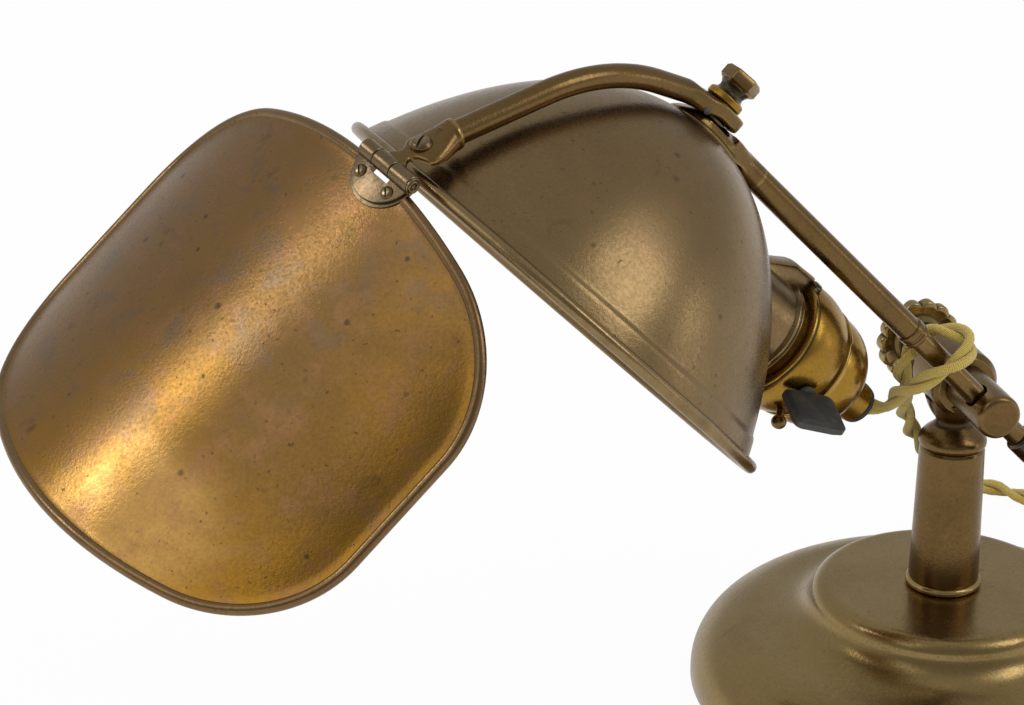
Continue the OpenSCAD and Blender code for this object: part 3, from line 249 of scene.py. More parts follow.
def settled(obj):
    graph = bpy.context.evaluated_depsgraph_get()
    mesh = bpy.data.meshes.new_from_object(obj.evaluated_get(graph))
    shape = [v.co / MM for v in mesh.vertices], [list(p.vertices) for p in mesh.polygons]
    bpy.data.objects.remove(obj)
    bpy.data.meshes.remove(mesh)
    return shape


def worked(shape, kind, **settings):
    obj = linked("work", as_mesh(shape))
    modifier = obj.modifiers.new(kind.lower(), kind)
    for key, value in settings.items():
        setattr(modifier, key, value)
    return settled(obj)


def cut(shape, tool):
    knife = linked("knife", as_mesh(tool))
    shape = worked(shape, "BOOLEAN", operation="DIFFERENCE", solver="EXACT", object=knife)
    bpy.data.objects.remove(knife)
    return shape


def softened(shape, width, segments=3):
    limit = math.radians(30)
    return worked(shape, "BEVEL", width=width * MM, segments=segments, limit_method="ANGLE", angle_limit=limit)


def oval(half_y, half_z, power=2.0, sides=40):
    out = []
    for k in range(sides):
        c, s = polar(1, 360 * k / sides)
        out.append(tuple(half * math.copysign(abs(v) ** (2 / power), v) for half, v in ((half_y, c), (half_z, s))))
    return out


print("helpers ready")

# %% [markdown]
# Old brass is not one colour. It is a warm metal under a brown skin that is thicker in some places, with dark specks,
# bright edges where hands rub it, and dirt or green salts in the corners. These effects are shared by every brass
# piece, so they are one node group with named inputs. The wear and the dirt read an attribute of the mesh that says
# how sharply the surface stands out or folds in at each point.


# %% Node helpers
class Nodes:
    """A node tree, with short names for the nodes that come back often."""

    def __init__(self, tree):
        self.tree = tree

    def fill(self, node, inputs):
        for key, value in inputs.items():
            if isinstance(value, bpy.types.NodeSocket):
                self.tree.links.new(value, node.inputs[key])
            else:
                node.inputs[key].default_value = value
        return node

    def add(self, kind, inputs=None, **settings):
        node = self.tree.nodes.new(kind)
        for key, value in settings.items():
            setattr(node, key, value)
        return self.fill(node, inputs or {})

    def math(self, kind, *values):
        return self.add("ShaderNodeMath", dict(enumerate(values)), operation=kind).outputs[0]

    def plus(self, a, b):
        return self.math("ADD", a, b)

    def minus(self, a, b):
        return self.math("SUBTRACT", a, b)

    def times(self, a, b):
        return self.math("MULTIPLY", a, b)

    def most(self, a, b):
        return self.math("MAXIMUM", a, b)

    def vector(self, kind, a, b, out=0):
        return self.add("ShaderNodeVectorMath", {0: a, 1: b}, operation=kind).outputs[out]

    def split(self, vector):
        return self.add("ShaderNodeSeparateXYZ", {0: vector}).outputs

    def span(self, value, low, high, to_low=0.0, to_high=1.0):
        inputs = {"Value": value, "From Min": low, "From Max": high, "To Min": to_low, "To Max": to_high}
        return self.add("ShaderNodeMapRange", inputs, interpolation_type="SMOOTHSTEP").outputs[0]

    def mix(self, factor, a, b):
        return self.add("ShaderNodeMix", {0: factor, 6: a, 7: b}, data_type="RGBA").outputs[2]

    def grain(self, where, scale, detail=4.0, rough=0.6, twist=0.0):
        inputs = {"Vector": where, "Scale": scale, "Detail": detail, "Roughness": rough, "Distortion": twist}
        return self.add("ShaderNodeTexNoise", inputs).outputs[0]

    def where(self):
        return self.add("ShaderNodeTexCoord").outputs["Object"]

    def edge(self):
        return self.add("ShaderNodeAttribute", attribute_name="edge").outputs["Fac"]

    def bump(self, strength, distance, height):
        inputs = {"Strength": strength, "Distance": distance, "Height": height}
        return self.add("ShaderNodeBump", inputs).outputs["Normal"]


def new_group(name, kind, inputs, outputs):
    group = bpy.data.node_groups.new(name, kind)
    for way, sockets in (("INPUT", inputs), ("OUTPUT", outputs)):
        for title, socket in sockets.items():
            group.interface.new_socket(title, in_out=way, socket_type="NodeSocket" + socket)
    return Nodes(group), group.nodes.new("NodeGroupInput").outputs, group.nodes.new("NodeGroupOutput")


print("node helpers ready")

# %% The aged skin of the metal
colours = ["Body", "Shadow", "Bright", "Blush"]
amounts = {"Cloud size": 16.0, "Clouds": 0.6, "Blushing": 0.35, "Specks": 0.4, "Stains": 0.4, "Wear": 0.7, "Dirt": 0.8}
inputs = {**dict.fromkeys(colours, "Color"), **dict.fromkeys(amounts, "Float")}
outputs = {"Color": "Color", "Roughness": "Float", "Height": "Float"}
n, given, result = new_group("aged skin", "ShaderNodeTree", inputs, outputs)
skin_group = n.tree
for item in skin_group.interface.items_tree:
    if item.name in amounts:
        item.default_value = amounts[item.name]
where, edge = n.where(), n.edge()
clouds = n.grain(where, given["Cloud size"], 6, 0.62, 0.5)
patches = n.grain(where, 95, 5, 0.6, 0.3)
fine = n.grain(where, 900, 3, 0.65)
speck = n.span(n.grain(where, 620, 2, 0.5), 0.66, 0.76)
stain = n.span(n.grain(where, 75, 5, 0.6, 0.6), 0.6, 0.76, 0, 0.6)
cells = n.add("ShaderNodeTexVoronoi", {"Vector": where, "Scale": 110.0}).outputs
chance = n.add("ShaderNodeSeparateColor", {0: cells["Color"]}).outputs
size = n.plus(0.05, n.times(chance[1], 0.15))
dot = n.times(n.span(cells["Distance"], size, n.times(size, 0.35)), n.span(chance[0], 0.35, 0.5))
speckled = n.times(speck, given["Specks"])
stained = n.times(n.most(stain, dot), given["Stains"])
rubbed = n.times(n.times(n.span(edge, 0.22, 0.85), n.span(patches, 0.28, 0.6)), given["Wear"])
folded = n.times(n.span(edge, -0.08, -0.5), given["Dirt"])
layers = [
    (n.times(n.span(clouds, 0.38, 0.66), given["Clouds"]), given["Shadow"]),
    (n.times(n.span(patches, 0.46, 0.7), given["Blushing"]), given["Blush"]),
    (n.span(fine, 0.3, 0.7, 0.0, 0.14), (0.02, 0.014, 0.006, 1)),
    (n.most(speckled, stained), (0.05, 0.038, 0.026, 1)),
    (rubbed, given["Bright"]),
    (folded, (0.045, 0.034, 0.016, 1)),
]
tone = given["Body"]
for share, colour in layers:
    tone = n.mix(share, tone, colour)
dull = n.plus(n.span(clouds, 0.3, 0.7, 0.17, 0.29), n.span(fine, 0.35, 0.7, 0, 0.07))
dull = n.plus(n.plus(dull, n.times(folded, 0.25)), n.times(speckled, 0.2))
height = n.minus(n.times(fine, 0.5), n.times(speckled, 0.15))
height = n.plus(height, n.times(patches, 0.3))
n.fill(result, {"Color": tone, "Roughness": n.minus(dull, n.times(rubbed, 0.08)), "Height": height})
print("aged skin nodes:", len(skin_group.nodes))

# %% [markdown]
# Every brass finish on the lamp is this skin with its own colours: the body, its shadow, the bright metal and the
# blush. The shade is grey-brown, the base more olive, the stem and rod redder, the socket still golden because the
# shade kept hands away from it.

# %% Brass finishes
finishes = {}


def new_material(name, slot=None):
    material = bpy.data.materials.new(name)
    material.use_nodes = True
    finishes[name] = (material, slot)
    return Nodes(material.node_tree), material.node_tree.nodes["Principled BSDF"]


def brass(name, slot, *tones, bump=0.25, **given):
    n, shader = new_material(name, slot)
    skin = n.add("ShaderNodeGroup", node_tree=skin_group)
    n.fill(skin, {key: (*tone, 1) for key, tone in zip(colours, tones)})
    n.fill(skin, {key.replace("_", " ").capitalize(): value for key, value in given.items()})
    n.fill(shader, {"Metallic": 1.0, "Coat Weight": 0.15, "Coat Roughness": 0.35})
    n.fill(shader, {key: skin.outputs[out] for key, out in (("Base Color", "Color"), ("Roughness", "Roughness"))})
    n.fill(shader, {"Normal": n.bump(bump, 0.0004, skin.outputs["Height"])})
    return n, shader, skin


tones = (0.3, 0.2, 0.088), (0.22, 0.145, 0.066), (0.48, 0.34, 0.15), (0.31, 0.18, 0.085)
brass("shade_brass", "brass_aged", *tones, stains=0.5, specks=0.5)
tones = (0.36, 0.25, 0.098), (0.25, 0.17, 0.06), (0.5, 0.36, 0.15), (0.33, 0.2, 0.075)
brass("base_brass", "brass_aged", *tones, specks=0.3, blushing=0.3, stains=0.3)
tones = (0.215, 0.13, 0.043), (0.15, 0.09, 0.03), (0.4, 0.27, 0.1), (0.24, 0.125, 0.05)
brass("brown_brass", "brass_brown", *tones, cloud_size=30, stains=0.3, specks=0.3)
tones = (0.23, 0.155, 0.075), (0.14, 0.094, 0.05), (0.46, 0.35, 0.19), (0.27, 0.165, 0.085)
brass("hinge_brass", "brass_brown", *tones, cloud_size=70, stains=0.5, specks=0.4)
tones = (0.44, 0.245, 0.03), (0.31, 0.175, 0.025), (0.66, 0.46, 0.16), (0.4, 0.2, 0.045)
brass("gold_brass", "brass_bright", *tones, cloud_size=34, specks=0.15, stains=0.2)
# The leaf's brass is a darker copy of the hinge brass. The darkening is painted shade that keeps the leaf dark under
# the left light.
tones = (0.19, 0.135, 0.075), (0.12, 0.084, 0.047), (0.3, 0.22, 0.12), (0.2, 0.12, 0.06)
brass("shaded_leaf_brass", "brass_brown", *tones, cloud_size=80, stains=0.4, specks=0.3, wear=0.2)
tones = (0.12, 0.095, 0.062), (0.06, 0.05, 0.036), (0.34, 0.27, 0.16), (0.13, 0.085, 0.05)
brass("dark_brass", "steel", *tones, cloud_size=60, stains=0.6)
tones = (0.27, 0.165, 0.07), (0.17, 0.1, 0.042), (0.38, 0.25, 0.11), (0.3, 0.15, 0.07)
brass("wire_brass", "brass_aged", *tones, cloud_size=30, wear=0.15, stains=0.5, specks=0.5)
tones = (0.42, 0.39, 0.33), (0.25, 0.22, 0.18), (0.6, 0.57, 0.5), (0.33, 0.25, 0.17)
brass("plain_steel", "steel", *tones, cloud_size=40)
tones = (0.07, 0.066, 0.06), (0.04, 0.036, 0.032), (0.16, 0.15, 0.14), (0.09, 0.05, 0.03)
brass("cast_iron", "iron", *tones, bump=0.8, cloud_size=40)
print("finishes:", sorted(finishes))

# %% [markdown]
# The visor is the most colourful piece. Its upper left is a pinkish copper brown and its lower right a golden olive,
# with grey bloom in patches. The change of colour follows the sheet, so it is mixed along a direction of the object's
# own coordinates, in the frame of the visor. One dull veil and one bright spot are mixed by their distance. The bright
# spot at the far end is a painted highlight, where the band of light on the sheet is strongest.

# %% Visor finish
tones = (0.4, 0.2, 0.05), (0.26, 0.14, 0.042), (0.42, 0.27, 0.1), (0.33, 0.16, 0.075)
marks = {"cloud_size": 17, "clouds": 0.6, "stains": 0.75, "specks": 0.6, "blushing": 0.5}
n, shader, skin = brass("visor_brass", "brass_aged", *tones, **marks)
where = n.where()
wander = n.times(n.minus(n.grain(where, 22, 5, 0.6, 0.6), 0.5), 0.09)
down = (VISOR.to_3x3() @ Vector((0, 0.8, -0.6))).normalized()


def visor_spot(y, z):
    return VISOR @ Vector((0, y, z)) * MM


def near_spot(y, z, far, close, share):
    reach = n.vector("DISTANCE", where, visor_spot(y, z), "Value")
    return n.span(n.plus(reach, wander), far, close, 0, share)


along = n.vector("DOT_PRODUCT", n.vector("SUBTRACT", where, visor_spot(0, -70)), down, "Value")
along = n.plus(along, wander)
tone = n.mix(n.span(along, -0.03, 0.035), (0.29, 0.158, 0.05, 1), (0.41, 0.2, 0.022, 1))
tone = n.mix(near_spot(22, -62, 0.07, 0.014, 0.68), tone, (0.14, 0.083, 0.032, 1))
# Painted highlight: a brighter spot at the visor's far end, where the band of light is strongest.
tone = n.mix(near_spot(16, -136, 0.04, 0.004, 0.75), tone, (0.6, 0.34, 0.1, 1))
n.fill(skin, {"Body": tone})
bloom = n.span(n.grain(where, 60, 5, 0.62, 0.4), 0.52, 0.7, 0, 0.6)
grey = n.mix(n.times(bloom, n.span(along, 0.04, -0.02)), skin.outputs["Color"], (0.17, 0.125, 0.085, 1))
n.fill(shader, {"Base Color": grey})
print("visor finish ready")

# %% [markdown]
# The other finishes are plainer: black moulded composition for the key and plug, white porcelain, thin glass, dark
# felt, and the yellow cotton braid of the cord. The braid is drawn from the UV map that each strand carries: two sets
# of threads that wind in opposite directions.

# %% Other finishes
n, shader = new_material("black_moulding", "black")
where = n.where()
dusty = n.span(n.grain(where, 160, 5, 0.6), 0.42, 0.75, 0, 0.7)
tone = n.mix(dusty, (0.022, 0.022, 0.019, 1), (0.062, 0.06, 0.05, 1))
tone = n.mix(n.span(n.edge(), 0.3, 1.0, 0, 0.5), tone, (0.14, 0.135, 0.11, 1))
rough = n.span(n.grain(where, 420, 3), 0.3, 0.7, 0.38, 0.55)
relief = n.bump(0.25, 0.0003, n.grain(where, 1200, 2))
n.fill(shader, {"Base Color": tone, "Roughness": rough, "Specular IOR Level": 0.3, "Normal": relief})

n, shader = new_material("white_porcelain", "porcelain")
where = n.where()
tone = n.mix(n.span(n.grain(where, 130, 5), 0.5, 0.75), (0.74, 0.71, 0.64, 1), (0.55, 0.5, 0.4, 1))
n.fill(shader, {"Base Color": tone, "Roughness": n.span(n.grain(where, 300, 3), 0.3, 0.7, 0.18, 0.35)})

n, shader = new_material("lamp_glass", "glass")
rough = n.span(n.grain(n.where(), 90, 5), 0.4, 0.75, 0.03, 0.16)
n.fill(shader, {"Transmission Weight": 1.0, "IOR": 1.05, "Base Color": (0.96, 0.94, 0.88, 1), "Roughness": rough})

n, shader = new_material("dark_felt", "felt")
fibre = n.grain(n.where(), 1500, 4, 0.7)
tone = n.mix(fibre, (0.02, 0.026, 0.02, 1), (0.075, 0.085, 0.065, 1))
n.fill(shader, {"Base Color": tone, "Roughness": 0.95, "Sheen Weight": 0.3, "Normal": n.bump(0.6, 0.0006, fibre)})

n, shader = new_material("cotton_braid", "cloth")
uv = n.split(n.add("ShaderNodeUVMap", uv_map="braid").outputs[0])
along, around = n.times(uv[0], 2 * math.pi / 1.1), n.times(uv[1], 2 * math.pi * 9)
one, two = n.math("SINE", n.plus(along, around)), n.math("SINE", n.minus(along, around))
weave = n.span(n.times(one, two), -0.9, 0.9)
where = n.where()
fuzz = n.grain(where, 2200, 3, 0.7)
tone = n.mix(weave, (0.42, 0.285, 0.036, 1), (0.7, 0.52, 0.095, 1))
tone = n.mix(n.span(n.grain(where, 130, 4), 0.55, 0.75, 0, 0.5), tone, (0.5, 0.36, 0.1, 1))
tone = n.mix(n.span(n.grain(where, 260, 2), 0.7, 0.76, 0, 0.8), tone, (0.5, 0.46, 0.36, 1))
relief = n.bump(0.7, 0.0004, n.plus(weave, n.times(fuzz, 0.6)))
n.fill(shader, {"Base Color": tone, "Roughness": n.span(fuzz, 0.2, 0.8, 0.72, 0.95), "Normal": relief})
n.fill(shader, {"Sheen Weight": 0.35, "Sheen Roughness": 0.5})
print("finishes:", len(finishes))

# %% [markdown]
# One function turns a drawn shape into a finished piece of the lamp: it makes the mesh, smooths it, marks the edges
# for wear, gives it a finish, and ties it to the part of the lamp that it moves with. The solid that it stands for is
# then hidden. A solid whose plain shape is right, such as a hidden nut, only gets a finish.


# %% Piece and dress
def mark_edges(mesh):
    form = bmesh.new()
    form.from_mesh(mesh)
    bend = [0.0] * len(form.verts)
    for seam in form.edges:
        if len(seam.link_faces) == 2:
            a, b = seam.link_faces
            gap = (a.calc_center_median() - b.calc_center_median()).length / MM
            value = seam.calc_face_angle_signed(0) / max(gap, 0.3)
            for v in seam.verts:
                if abs(value) > abs(bend[v.index]):
                    bend[v.index] = value
    for _ in range(2):
        sums = [sum(bend[e.other_vert(v).index] for e in v.link_edges) for v in form.verts]
        means = [total / max(len(v.link_edges), 1) for total, v in zip(sums, form.verts)]
        bend = [0.5 * own + 0.5 * mean for own, mean in zip(bend, means)]
    form.free()
    mesh.attributes.new("edge", "FLOAT", "POINT").data.foreach_set("value", bend)


def piece(name, shape, body, finish, nodes=(), place=Matrix(), sharp=38):
    mesh = as_mesh(placed(shape, place), name)
    mesh.polygons.foreach_set("use_smooth", [True] * len(mesh.polygons))
    mesh.set_sharp_from_angle(angle=math.radians(sharp))
    mark_edges(mesh)
    obj = linked(name, mesh)
    material, slot = finishes[finish]
    mesh.materials.append(material)
    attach(obj, body)
    if nodes:
        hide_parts(*([nodes] if isinstance(nodes, str) else nodes))
    return obj


def spun(name, profile, sides, *rest, **more):
    return piece(name, turned(profile, sides, closed=True), *rest, **more)


def dress(finish, *nodes):
    for node in nodes:
        mesh = frame["nodes"][node].data
        mesh.materials.clear()
        mesh.materials.append(finishes[finish][0])


dress("dark_felt", "felt_pad")
dress("cast_iron", "base_weight")
dress("plain_steel", "tie_tube", "base_nut", "swivel_pin", "swivel_nut", "draw_bolt", "crown_nut")
dress("gold_brass", "stem_bush", "screw_shell", "plug_blades", "bulb_cap")
dress("brown_brass", "clamp_washer")
dress("white_porcelain", "socket_core")
print("hidden solids dressed")

# %% [markdown]
# The cord comes first, because it reaches furthest. It is a pair of cotton-covered wires, twisted together. It leaves
# the socket, goes once round the rod, hangs down behind the stem and runs along the table to a coil with its plug.
# The route is one smooth line through chosen points. A frame carried along it without twisting gives the two strands
# their steady lay. The stretch between the head and the base crosses four joints, so it is made in four pieces, one
# for each pair of neighbouring bodies. The loop stays on the rod, the next two bends lie above the knuckle,
# where there is room, and the last one winds round the stem.

# %% Route of the cord
CORD, ON_TABLE, DIAGONAL = 6.5, 3.3, 0.7071
TAIL_END, BUSH_HIGH = 44.2, 2.4
lead_side = Vector(polar(1, -135, 0))


def lead_point(k):
    reach = CORD * 0.45 + k * DIAGONAL
    high = TAIL_END + BUSH_HIGH + CORD / 2 * DIAGONAL + 0.15 + k * DIAGONAL
    return SOCKET @ (lead_side * reach + Vector((0, 0, high)))


lead_route = [(-26.3, -18.8, 118.5), (-25, -21.9, 122), (-23.8, -26, 126), (-21.8, -30, 129.4), (-19, -33.6, 132.6)]
lead_route += [(-15, -36.1, 136.2), (-10, -37.2, 140), (-6, -36.9, 142.8), (-2.6, -34, 145.2), (-2.4, -29.6, 147.3)]
lead_route += [(-6, -25.8, 148.4), (-12, -22.6, 147.8), (-17, -22.6, 145), (-20.5, -24.6, 141.5)]
drop_route = [(-22.2, -23.8, 137.5), (-22.5, -22, 133), (-21.5, -18, 127.5), (-20, -12, 121), (-18.5, -4, 112.5)]
drop_route += [(-15, 6, 102), (-11, 14.5, 92.5), (-6, 21.5, 84), (0, 32, 69), (8, 51, 49), (16, 75, 30)]
drop_route += [(24, 102, 15.5), (29, 125, 8), (32, 142, 4.4)]
run_route = [(36, 154), (42, 158.5), (49, 156.5), (53.5, 152.5), (58, 148.5), (68, 141), (82, 135), (98, 132.3)]
run_route = [(x, y, ON_TABLE) for x, y in run_route]
COIL, INNER, PITCH, TURNS, STEPS, LIFT = Vector((125, 178, ON_TABLE)), 25, 7.1, 3, 24, 7.1


def coil_point(i, r, h):
    a = 2 * math.pi * i / STEPS
    return COIL + Vector((r * math.sin(a), -r * math.cos(a), h))


whole, half = TURNS * STEPS, STEPS // 2
coil = [coil_point(i, INNER + PITCH * (TURNS - i / STEPS), 0) for i in range(whole + 1)]
for i in range(1, half + 1):
    climb = LIFT * (1 - math.cos(math.pi * i / half)) / 2
    coil.append(coil_point(whole + i, INNER - PITCH * min(i, half - i) / STEPS, climb))
coil += [coil_point(whole + half + i, INNER + PITCH * i / STEPS, LIFT) for i in range(1, whole - half // 2 + 1)]
coil_start, coil_end = coil[0] - Vector((CORD, 0, 0)), coil[-1] + Vector((0, CORD, 0))
plug_at = coil_end + Vector((0, 36, 13 - ON_TABLE - LIFT))
lead_in = Vector((0, 8, 0.3))
tail = [coil_end, coil_end + lead_in, (coil_end + plug_at) / 2, plug_at - lead_in, plug_at]
stops = [lead_point(-2.5), lead_point(0), lead_point(2.5)] + lead_route
lead_stop = len(stops) - 1
stops += drop_route + run_route[:1]
drop_stop = len(stops) - 1
stops += run_route[1:] + [coil_start - Vector((8, 0, 0)), coil_start] + coil + tail
stops = [Vector(p) for p in stops]


def through(points, step):
    line, at = [], []
    for i in range(len(points) - 1):
        a, b, c, d = (points[max(0, min(len(points) - 1, i + k))] for k in (-1, 0, 1, 2))
        parts = max(2, round((c - b).length / step))
        for k in range(parts):
            t = k / parts
            bow, sway = 2 * a - 5 * b + 4 * c - d, 3 * b - a - 3 * c + d
            line.append(0.5 * (2 * b + (c - a) * t + bow * t * t + sway * t**3))
            at.append(i + t)
    return line + [points[-1]], at + [len(points) - 1]


line, at = through(stops, 1.4)
run_length = [0.0]
for a, b in zip(line, line[1:]):
    run_length.append(run_length[-1] + (b - a).length)
print("cord length", round(run_length[-1]), "mm, points", len(line))

# %% Strands of the cord
STRAND, APART, LAY = 1.68, 1.6, 34.0


def heading(points, i):
    return (points[min(i + 1, len(points) - 1)] - points[max(i - 1, 0)]).normalized()


tangents = [heading(line, i) for i in range(len(line))]
side = tangents[0].orthogonal().normalized()
sides = []
for t in tangents:
    side = (side - t * side.dot(t)).normalized()
    sides.append(side)


def strand_line(phase):
    out = []
    for p, t, e, s in zip(line, tangents, sides, run_length):
        a = 2 * math.pi * s / LAY + phase
        out.append(p + APART * (math.cos(a) * e + math.sin(a) * t.cross(e)))
    return out


strands = [strand_line(0.6), strand_line(0.6 + math.pi)]


def cord_mesh(name, first, last, sides_n=12):
    points, faces, uvs = [], [], []
    circle = [polar(STRAND, 360 * k / sides_n) for k in range(sides_n)]
    for strand in strands:
        rows = []
        for i in range(first, last + 1):
            t, out = heading(strand, i), strand[i] - line[i]
            e = (out - t * out.dot(t)).normalized()
            rows.append(list(range(len(points), len(points) + sides_n)))
            points += [strand[i] + c * e + s * t.cross(e) for c, s in circle]
        for i in range(last - first):
            faces += band_of(rows[i], rows[i + 1])
            s0, s1 = run_length[first + i], run_length[first + i + 1]
            for k in range(sides_n):
                v0, v1 = k / sides_n, (k + 1) / sides_n
                uvs += [(s0, v0), (s0, v1), (s1, v1), (s1, v0)]
        faces += [rows[0][::-1], rows[-1]]
        uvs += [(0, 0)] * (2 * sides_n)
    mesh = bpy.data.meshes.new(name)
    mesh.from_pydata([p * MM for p in points], [], faces)
    mesh.uv_layers.new(name="braid").data.foreach_set("uv", [v for uv in uvs for v in uv])
    mesh.polygons.foreach_set("use_smooth", [True] * len(mesh.polygons))
    mesh.materials.append(finishes["cotton_braid"][0])
    obj = linked(name, mesh)
    return obj


def spot_of(stop):
    return next(i for i, a in enumerate(at) if a >= stop - 1e-6)


def spot_at(length):
    return min(range(len(line)), key=lambda i: abs(run_length[i] - run_length[lead_last] - length))


lead_last, drop_last, cord_last = spot_of(lead_stop), spot_of(drop_stop), len(line) - 1
mouth, reach = -run_length[lead_last], run_length[drop_last] - run_length[lead_last]
stretches = [
    ("cord_lead_pair", "cord_lead", "head", "rod", mouth, 0, mouth + 6, mouth + 34),
    ("cord_drop_a", "cord_drop", "rod", "clamp", 0, 32, 13, 31),
    ("cord_drop_b", "cord_drop", "clamp", "swivel", 32, 46, 33, 45),
    ("cord_drop_c", "cord_drop", "swivel", "base", 46, reach, 47, 122),
]
cuts, hung = [], []
for name, node, above, below, *lengths in stretches:
    first, last, start, end = (spot_at(length) for length in lengths)
    part = cord_mesh(name, first, last)
    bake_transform(part)
    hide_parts(node)
    hung.append(part)
    cuts.append((first, last))
print("cord pieces down to the table:", [round(run_length[b] - run_length[a]) for a, b in cuts])

# %% [markdown]
# The plug is a turned black moulding with a waist and finger ribs, and a tapered sleeve for the cord. The ribs repeat
# round it, so Geometry Nodes place them: one small rounded bar is copied to points on a circle and turned to face
# outwards. Helpers start and close such a tree, run it, and give back a plain shape.


# %% Geometry Nodes helpers
def new_tree(name, **inputs):
    named = {key.replace("_", " "): kind for key, kind in inputs.items()}
    sockets = {"Geometry": "Geometry", **named, "Finish": "Material"}
    return new_group(name, "GeometryNodeTree", sockets, {"Geometry": "Geometry"})


def close_tree(n, given, result, shape):
    done = n.add("GeometryNodeSetMaterial", {"Geometry": shape, "Material": given["Finish"]})
    n.fill(result, {0: done.outputs[0]})
    return n.tree


def copied(n, given, points, **more):
    part = n.add("GeometryNodeObjectInfo", {"Object": given["Part"]}).outputs["Geometry"]
    copies = n.add("GeometryNodeInstanceOnPoints", {"Points": points, "Instance": part, **more})
    return n.add("GeometryNodeRealizeInstances", {0: copies.outputs[0]}).outputs[0]


def grown(tree, shape, finish, lines=(), **values):
    mesh = bpy.data.meshes.new("grown")
    mesh.from_pydata([Vector(p) * MM for p in shape[0]], list(lines), shape[1])
    obj = linked("grown", mesh)
    modifier = obj.modifiers.new("nodes", "NODES")
    modifier.node_group = tree
    values = {"Finish": finishes[finish][0], **{key.replace("_", " "): value for key, value in values.items()}}
    for item in tree.interface.items_tree:
        if item.in_out == "INPUT" and item.name in values:
            modifier[item.identifier] = values[item.name]
    return settled(obj)


def copies_of(tree, shape, points, finish, **values):
    model = linked("model", as_mesh(shape))
    out = grown(tree, (points, []), finish, Part=model, **values)
    bpy.data.objects.remove(model)
    return out


n, given, result = new_tree("copies round an axis", Count="Int", Radius="Float", Part="Object")
ring = n.add("GeometryNodeMeshCircle", {"Vertices": given["Count"], "Radius": given["Radius"]}).outputs[0]
place = n.add("GeometryNodeInputPosition").outputs[0]
facing = n.add("FunctionNodeAlignRotationToVector", {"Vector": place}, axis="X", pivot_axis="Z").outputs[0]
round_tree = close_tree(n, given, result, copied(n, given, ring, Rotation=facing))
n, given, result = new_tree("copies on points", Part="Object")
point_tree = close_tree(n, given, result, copied(n, given, given["Geometry"]))
print("node trees ready")

# %% Plug, tie and the coiled end
rib = softened(prism([(-0.6, -0.7), (0.7, -0.5), (0.7, 0.5), (-0.6, 0.7)], 12), 0.3, 2)
grip = placed(copies_of(round_tree, rib, [(0, 0, 0)], "black_moulding", Count=24, Radius=12.7 * MM), shift(0, 0, 22))
body_line = [(0, 0.2), (4.3, 0.2, 0.6), (5.2, 6, 2), (8.4, 11.5, 3), (13, 14.5, 1.6), (13, 29, 0.9), (0, 29.98)]
PLUG = shift(*plug_at) @ turn("X", -90)
plug = joined(turned(rounded(body_line), 64), grip)
plug = piece("plug_grip", plug, "base", "black_moulding", "plug_body", PLUG)
TIE_X, TIE_Z, TIE_ROUND = 10.8, 6.8, 4.6
corners = [(x * TIE_X, z * TIE_Z, TIE_ROUND) for x, z in ((-1, 1), (1, 1), (1, -1), (-1, -1))]
band = rounded([(-TIE_X, 1.2), *corners, (-TIE_X, 1.2)])
hoop = [[(p.x * k, w, p.y * k) for p in band] for k, w in ((1.0, -3), (1.1, -2.6), (1.1, 2.6), (1.0, 3))]
TIE = shift(COIL.x - INNER - PITCH * 1.25, COIL.y, ON_TABLE + LIFT / 2)
tie = piece("coil_tie", lofted(hoop, capped=False), "base", "black_moulding", (), TIE)
tail_cord = cord_mesh("cord_coil_pair", drop_last, cord_last, 8)
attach(tail_cord, "base")
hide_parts("cord_run", "cord_coil", "cord_end")
print("coiled cord", round(run_length[cord_last] - run_length[drop_last]), "mm")

# %% [markdown]
# The base is a spun brass shell over an iron weight. Spinning leaves smooth rounded steps: a low lip, a bulging flange,
# a hollow, and a raised middle with a rounded shoulder. It is a turned piece, drawn with both its faces so that it has
# a real wall. The stem, its bead and the ogee cap of the knuckle are turned on the same axis.


# %% Base and stem
def base_line(inset):
    outer = arc((65, 4.5), 24 - inset, 20.5 - inset, 0, 84, 28)
    low, high = (48.1 - inset, 29.2 - inset), (46.5 - inset, 35.5 - inset)
    outer += curve((65, 25 - inset), (55, 25.6 - inset), low, high, 24)[1:]
    return outer + arc((40.5 - inset, 35.5 - inset), 6, 6, 12, 90, 14)


shell_line = rounded([(86.6, 2.1), (87.4, 2.05, 0.3), (89, 2.05, 0.4), (89, 4.4)])[:-1]
shell_line += base_line(0) + [(5.4, 41.5), (5.4, 40.3)] + base_line(1.2)[::-1]
spun("base_spinning", shell_line, 192, "base", "base_brass", "base_shell", sharp=50)
bead_line = [(5.4, 41.52), (11.9, 41.52), *arc((12, 43.02), 1.5, 1.5, -88, 88, 16), (11.9, 44.52), (5.4, 44.52)]
spun("stem_bead_ring", bead_line, 128, "base", "base_brass", "stem_bead")
stem_line = [(9.5, 44.54), (12.1, 44.54, 0.2), (12.42, 45.2, 0.6), (12.3, 50, 30), (11.4, 94.4, 0.5), (10.9, 95.5, 0.3)]
stem_line = rounded(stem_line + [(9.5, 95.5)]) + [(9.5, 80), (9.5, 60)]
spun("stem_column", stem_line, 128, "base", "brown_brass", "stem_tube")
print("base and stem made")

# %% [markdown]
# The knuckle is a casting: an ogee cap sits on the stem, a narrow neck rises from it, and a short barrel lies across.
# The clamp sleeve in front of it is crossed by the rod, so the sleeve gets a hole with a softened mouth, where a dark
# line shows round the rod.

